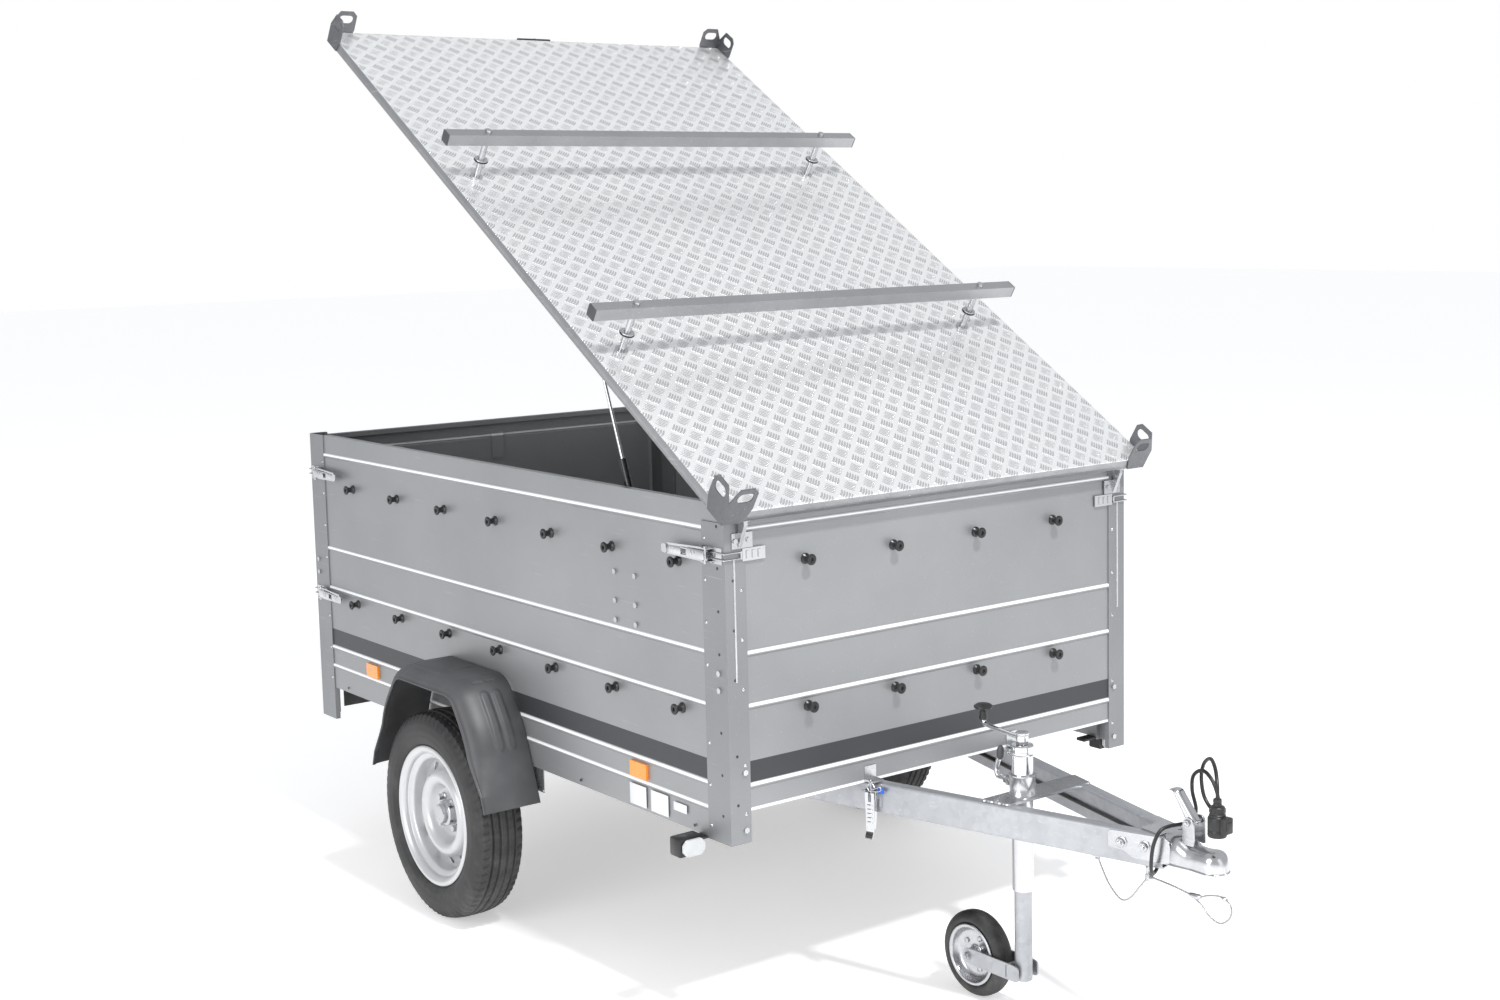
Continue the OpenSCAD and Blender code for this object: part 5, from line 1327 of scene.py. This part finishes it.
# %% Mudguard surface
def guard_surface(nu=330, nv=64):
    """u runs along the outline and v from the box to the outer edge. Beyond the shoulder
    the point sinks towards the wheel by a quarter ellipse; ribs and the step are added
    along the outward direction with smooth masks."""
    back_x, front_x, low_z, top_z = -403.0, 227.0, 352.0, 656.0
    line = rounded([[back_x - 98, low_z - 300], [back_x + 60, top_z - 120],
                    [back_x + 150, top_z - 1], [front_x - 150, top_z - 1],
                    [front_x - 70, top_z - 112], [front_x + 107, low_z - 300]], 46, 12)
    line = line[line[:, 1] > low_z + 3]
    line = np.concatenate([[[back_x, low_z]], line, [[front_x - 1, low_z]]])
    s = np.concatenate([[0], np.cumsum(np.linalg.norm(np.diff(line, axis=0), axis=1))])
    u = np.linspace(0, s[-1], nu)
    x, z = np.interp(u, s, line[:, 0]), np.interp(u, s, line[:, 1])
    d = np.gradient(np.column_stack([x, z]), axis=0)
    d /= np.linalg.norm(d, axis=1)[:, None]
    nx, nz = -d[:, 1], d[:, 0]
    v = np.linspace(0, 1, nv)
    y = 625.5 + v * (784.5 - 625.5)
    over = np.clip((y - 700) / 80.0, 0, 1)
    sink = 36 * (1 - np.sqrt(1 - np.minimum(over, 0.999) ** 2.4))
    y = y - 3.0 * (over > 0.985)
    fade = np.clip((z - low_z - 10) / 120, 0.25, 1)
    height = -sink[None, :] * fade[:, None]
    ribs = np.zeros((nu, nv))
    pos = u / s[-1]
    for c in (672.0, 706.0):
        cu = np.clip(pos, 0.705, 0.845)
        gap = np.hypot((pos - cu)[:, None] * s[-1], (y - c)[None, :])
        ribs = np.maximum(ribs, 1 / (1 + np.exp((gap - 11) * 1.2)))
    height = height + 3.6 * ribs
    step = 1 / (1 + np.exp((np.abs(pos - 0.46)[:, None] * s[-1] - 70) * 0.5))
    height = height + 2.6 * step * np.clip((y - 632)[None, :] / 20, 0, 1) * (y < 745)[None, :]
    slots = np.zeros((nu, nv))
    for c in (672.0, 706.0):
        inside = (np.abs(pos - 0.660)[:, None] * s[-1] < 3.2) & (np.abs(y - c)[None, :] < 13)
        slots = np.maximum(slots, inside)
    height = height - 3.0 * slots
    X = x[:, None] + nx[:, None] * height
    Z = z[:, None] + nz[:, None] * height
    return np.stack([X, -y[None, :] + 0 * X, Z], -1)


guard = guard_surface()
make("mudguard_shells", mirrored([grid(guard)]), guard_plastic, "box", replaces=["mudguards"],
     wall=0.0035, sharp=60)
print("mudguards", guard.shape)

# %% [markdown]
# ## Box: knobs, fastenings, latches and lamps
# The panels, posts and floor keep their imported shapes and take sheet-steel finishes. The
# small fittings on them are made here: turned rope knobs, rivets, latch levers,
# marker lamps and blank label plates.

# %% Rope knobs
KNOB = [(12.2, -0.6), (12.4, 2.2), (11, 3.6), (8.2, 6), (7.1, 11), (7.6, 16), (9.5, 18.6),
        (12.0, 20), (12.9, 22), (12.5, 24), (11, 24.8), (6, 24.9), (4.6, 24), (4.2, 21.4)]
knob = capped(KNOB)
side_knobs = [lathe(knob, 32, ((i - 3) * 272 + 45, -622, z), FACE_RIGHT)
              for i in range(7) for z in (714, 1048)]
front_knobs = [lathe(knob, 32, (1037, (i - 1.5) * 258 - 15, z), FACE_FRONT)
               for i in range(4) for z in (714, 1048)]
make("box_rope_knobs", mirrored(side_knobs) + front_knobs, knob_plastic, "box",
     replaces=["rope_knobs"])
for body, z in (("tailgate_lower", 714), ("tailgate_upper", 1048)):
    make("rope_knobs_" + body, [lathe(knob, 32, (-1037, (i - 1.5) * 258, z), FACE_REAR)
                                for i in range(4)], knob_plastic, body)
print("rope knobs", len(side_knobs) * 2 + len(front_knobs) + 8)

# %% Rivets and open holes on the posts and panels
side_rivets, front_rivets, side_holes, front_holes = [], [], [], []
side_hole, front_hole = capped([(3.6, -0.4), (3.6, 0.35)]), capped([(3.4, -0.4), (3.4, 0.35)])
for z in (468, 560, 655, 830, 925, 1020, 1112):
    side_rivets += [rivet(4.6, 2.2, (x, -625, z), FACE_RIGHT) for x in (966, -962)]
    side_holes.append(lathe(side_hole, 20, (1012, -625, z + 30), FACE_RIGHT))
for z in (500, 610, 780, 890, 1000, 1100):
    front_rivets += [rivet(4.6, 2.2, (1040, y, z), FACE_FRONT) for y in (-582, 582)]
    front_holes.append(lathe(front_hole, 20, (1040, -604, z + 24), FACE_FRONT))
for x in (-860, -560, 420, 700, 900):
    side_holes.append(lathe(side_hole, 20, (x, -625, 452), FACE_RIGHT))
make("box_rivets", mirrored(side_rivets) + front_rivets, plated, "box")
# painted shade: each open hole is a thin black disc on the sheet, for the dark inside of the hole
make("box_holes_painted_shade", mirrored(side_holes) + front_holes, black_paint, "box")
bead = sweep(smooth_path([[1039.2, -600, 812], [1039.8, -600, 818], [1039.8, -600, 1054],
                          [1039.2, -600, 1060]], 6), circle(2.6, 12))
make("front_post_beads", mirrored([bead]), plated, "box")
labels = [block((640, -626.2, 446), (708, -624.6, 496), 0.6),
          block((728, -626.2, 446), (798, -624.6, 496), 0.6),
          block((820, -626.2, 470), (872, -624.6, 490), 0.6)]
make("blank_labels", labels, white_plastic, "box")
print("rivets", len(side_rivets + front_rivets), "holes", len(side_holes + front_holes))


# %% Toggle latch levers
def lever_parts():
    """A pressed channel in (u, w, v): two rails that close in towards the thumb end, a web
    with a window and two ribs, and a turned-out end."""
    rail = []
    for s in (1, -1):
        line = smooth_path([[-48, -12, 11 * s], [-80, -13, 11 * s], [-140, -16, 9.4 * s],
                            [-190, -18.5, 8.2 * s]], 4)
        rail.append(sweep(line, np.array([[-1.1, -5], [1.1, -5], [1.1, 4], [-1.1, 4]])))
    web = [block((-118, -19.4, -10.4), (-52, -17.4, 10.4), 0.9),
           block((-194, -20, -8.6), (-138, -18, 8.6), 0.9),
           block((-140, -19.6, -9.4), (-116, -18, -6.4), 0.7),
           block((-140, -19.6, 6.4), (-116, -18, 9.4), 0.7)]
    web += [block((u, -20.8, -6), (u + 5, -18.6, 6), 1) for u in (-176, -164, -100, -88)]
    end = bar(rounded([[-208, -9], [-208, 9], [-190, 11], [-190, -11]], 5), 2.4, (0, -20.6, 0),
              FACE_RIGHT)
    pin = lathe(capped([(2.4, -19), (2.4, 19)]), 16, (-54, -13, 0))
    heads = [lathe(capped([(4.2, 0), (4.2, 1.6), (3, 2.4)]), 16, (-54, -13, 17.5 * s),
                   rot_x(0 if s > 0 else math.pi)) for s in (1, -1)]
    return rail + web + [end, pin] + heads


def latch_place(parts, z, end, side):
    """Lever parts carried to a corner: end 1 is the front, side 1 the right."""
    return [((p + [1040, -625, z]) * [end, side, 1], f) for p, f in parts]


lever = lever_parts()
for name, z, end, side in (("latch_front_right", 1078, 1, 1), ("latch_front_left", 1078, 1, -1),
                           ("latch_rear_right_upper", 1078, -1, 1),
                           ("latch_rear_left_upper", 1078, -1, -1),
                           ("latch_rear_right_lower", 720, -1, 1),
                           ("latch_rear_left_lower", 720, -1, -1)):
    make(name + "_lever", latch_place(lever, z, end, side), bright, name, replaces=[name])
print("latch levers")

# %% Marker lamps, tail lamps and reflectors
bracket = [block((914, -641, 430), (942, -581, 438), 1.5),
           block((906, -699, 401), (948, -634, 445), 5)]
make("marker_lamp_bodies", mirrored(bracket), knob_plastic, "box", replaces=["marker_lamps"])
long_hexagon = rounded([[-29, -8], [-19, -19], [19, -19], [29, -8], [29, 8], [19, 19], [-19, 19],
                        [-29, 8]], 3)
clear = [bar(long_hexagon[:, ::-1] * k, d, (948 + at, -666.5, 423), FACE_FRONT)
         for k, d, at in ((1.0, 8, 3), (0.86, 2.4, 8))]
make("marker_lenses", mirrored(clear), clear_lens, "box", bevel=0.0012)
arrow = rounded([[-14, -3], [-2, 2], [-4, -5], [14, 4], [2, 1], [3, 7]], 1)
core = bar(arrow[:, ::-1], 1.2, (957, -666.5, 423), FACE_FRONT)
make("marker_lens_cores", mirrored([core]), bright, "box")
make("tail_lamp_frames", [block((-1034, y - 3, 363), (-1023.5, y + 203, 431), 3)
                          for y in (-555, 355)], knob_plastic, "box")
print("lamps")

# %% [markdown]
# ## Tipping latches
# Each hangs on an arm just ahead of the box: a pressed lever with a ladder of ribs, a bent
# tip and a wire clip that swings with it, then a ring on the eye bolt and a blue tab.

# %% Tipping latch levers and clips
TIP_X = 1054.0                           # where the latches stand along the trailer


def tip_place(parts):
    """Parts drawn with x along the arm and -y outwards, carried to the right-hand latch."""
    at = (TIP_X, -(arm_mid(TIP_X) + ARM_HALF), 0)
    return [moved(p, at, rot_z(ARM_TURN)) for p in parts]


tongue = rounded([[-13, -10], [-13, 5], [-4, 5], [-4, -17], [4, -17], [4, 5], [13, 5], [13, -10],
                  [9.5, -84], [-9.5, -84]], 2.2)
tip = [bar(tongue, 2.6, (0, -17, 481), FACE_RIGHT)]
for s in (1, -1):
    rail = [[12 * s, -13, 484], [12 * s, -12, 470], [10.6 * s, -13, 430], [9.4 * s, -15.5, 400]]
    tip.append(sweep(rail, [[-1, -5], [1, -5], [1, 5], [-1, 5]]))
tip += [block((-7, -21.2, z), (7, -18.8, z + 4), 1) for z in (414, 424, 434, 444, 454)]
tip += [sweep(smooth_path([[0, -18.5, 400], [0, -19.5, 392], [0, -23, 384], [0, -24.5, 378]], 4),
              np.array([[-10, -1.3], [10, -1.3], [10, 1.3], [-10, 1.3]]))]
clip = smooth_path([[-26, -13, 487], [-6, -18.5, 489], [8, -19, 490], [24, -17, 492],
                    [30, -16, 497], [26, -16, 502], [16, -17, 498], [4, -18, 494]], 5)
tip.append(sweep(clip, circle(1.2, 8)))
tip_parts = tip_place(tip)
ring_line = np.array([[9 * math.cos(a), -13 + 1.5 * math.sin(a), 497 + 9 * math.sin(a)]
                      for a in np.linspace(0, 2 * math.pi, 24, endpoint=False)])
extras = [sweep(ring_line, circle(1.8, 8), loop=True)]
extras += hex_nut(5.5, 5, (0, -13, 508), dome=True)
tab = [block((20, -16, 486), (34, -9, 500), 2)]
for side, s in (("right", 1), ("left", -1)):
    make("tip_lever_plate_" + side, [(p * [1, s, 1], f) for p, f in tip_parts], bright,
         "tip_lever_" + side, replaces=["tip_lever_" + side])
make("tip_rings_and_nuts", mirrored(tip_place(extras)), bright, "chassis")
make("tip_blue_tabs", mirrored(tip_place(tab)), blue_plastic, "chassis")
print("tipping latches")

# %% [markdown]
# ## Lid
# One tread sheet with a flange all round. Rings of a rounded rectangle run from the
# flange's lower edge over the rolled corner and in to the middle, and the sheet gets its
# wall. Bars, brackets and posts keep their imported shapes.

# %% Lid sheet, bar ends and bar nuts
LID_TOP = 1193.3
BARS_X = (480, -290)                     # the roof bars' places along the trailer


def lid_ring(inset, z):
    """A rounded rectangle inset from the lid's outline, at a height; corner radius shrinks."""
    x0, x1, h = -1058 + inset, 1072 - inset, 655 - inset
    flat = rounded([[x0, -h], [x1, -h], [x1, h], [x0, h]], max(9 - inset, 0.4), 5)
    return np.column_stack([flat, np.full(len(flat), z)])


rings = [(0, LID_TOP - 30), (0, LID_TOP - 16), (0, LID_TOP - 3.2), (0.9, LID_TOP - 1.1),
         (3.2, LID_TOP), (8, LID_TOP), (60, LID_TOP), (330, LID_TOP), (640, LID_TOP)]
shell = np.stack([lid_ring(*r) for r in rings])
sheet, sheet_faces = grid(shell, close_v=True)
count = shell.shape[1]
first = (len(rings) - 1) * count
sheet_faces = sheet_faces + [list(range(first, first + count))]
lid_sheet = make("lid_tread_sheet", [(sheet, sheet_faces)], tread, "lid", replaces=["lid_sheet"],
                 wall=0.002, lid=True, sharp=50)
# the flange bands take the darker aluminium, which is painted shade
lid_sheet.data.materials.append(flange_aluminium_painted_shade)
on_flange = np.zeros(len(lid_sheet.data.polygons), int)
on_flange[:2 * count] = 1
lid_sheet.data.polygons.foreach_set("material_index", on_flange)
caps = []
for x in BARS_X:
    for y0, y1 in ((-698, -694), (604, 608)):
        caps.append(block((x - 15.6, y0, LID_TOP + 99.4), (x + 15.6, y1, LID_TOP + 130.6), 2))
make("bar_end_caps", caps, guard_plastic, "lid", replaces=["bar_rubbers"],
     lid=True)
seats, washers = [], []
for x in BARS_X:
    for y in (-580, 490):
        at = (x, y, LID_TOP)
        seats.append(lathe([(8.1, 48), (17.5, 48), (18.2, 49), (18.2, 51), (17.5, 52), (8.1, 52)],
                           40, at, closed=True))
        washers.append(lathe([(8.1, 52), (16.8, 52), (17.2, 53), (16.8, 54.4), (8.1, 54.8)], 40,
                             at, closed=True))
make("bar_post_rubbers", seats, knob_plastic, "lid", lid=True)
make("bar_post_washers", washers, plated, "lid", lid=True)
print("lid sheet", shell.shape)

# %% [markdown]
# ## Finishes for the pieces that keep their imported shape

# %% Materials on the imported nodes
FINISHES = {
    "side_panels_lower": panel_steel, "side_panels_upper": panel_steel, "front_panels": panel_steel,
    "tailgate_lower": panel_steel, "tailgate_upper": panel_steel, "corner_posts": post_steel,
    "floor_board": board, "floor_frame": galvanised, "axle_beam": black_paint,
    "rear_beam": black_paint, "stub_arms": galvanised, "tipping_brackets": galvanised,
    "box_brackets": plated, "latch_plates": bright, "panel_bolts": plated,
    "side_reflectors": amber_lens, "tail_lamps": red_lens, "lid_frame": plain_steel,
    "lid_corner_brackets": bracket_steel, "lid_hinge_leaves": plated, "roof_bars": bar_aluminium,
    "bar_posts": plated, "lid_lock_handle": black_paint,
    "strut_cylinders": strut_paint, "strut_rods": bright}
left = []
for name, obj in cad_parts.items():
    if name not in FINISHES:
        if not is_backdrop(obj) and len(obj.material_slots) and not obj.hide_render:
            left.append(name)
        continue
    for slot in obj.material_slots:
        slot.material = FINISHES[name]
print("finished", len(FINISHES), "still plain", left)
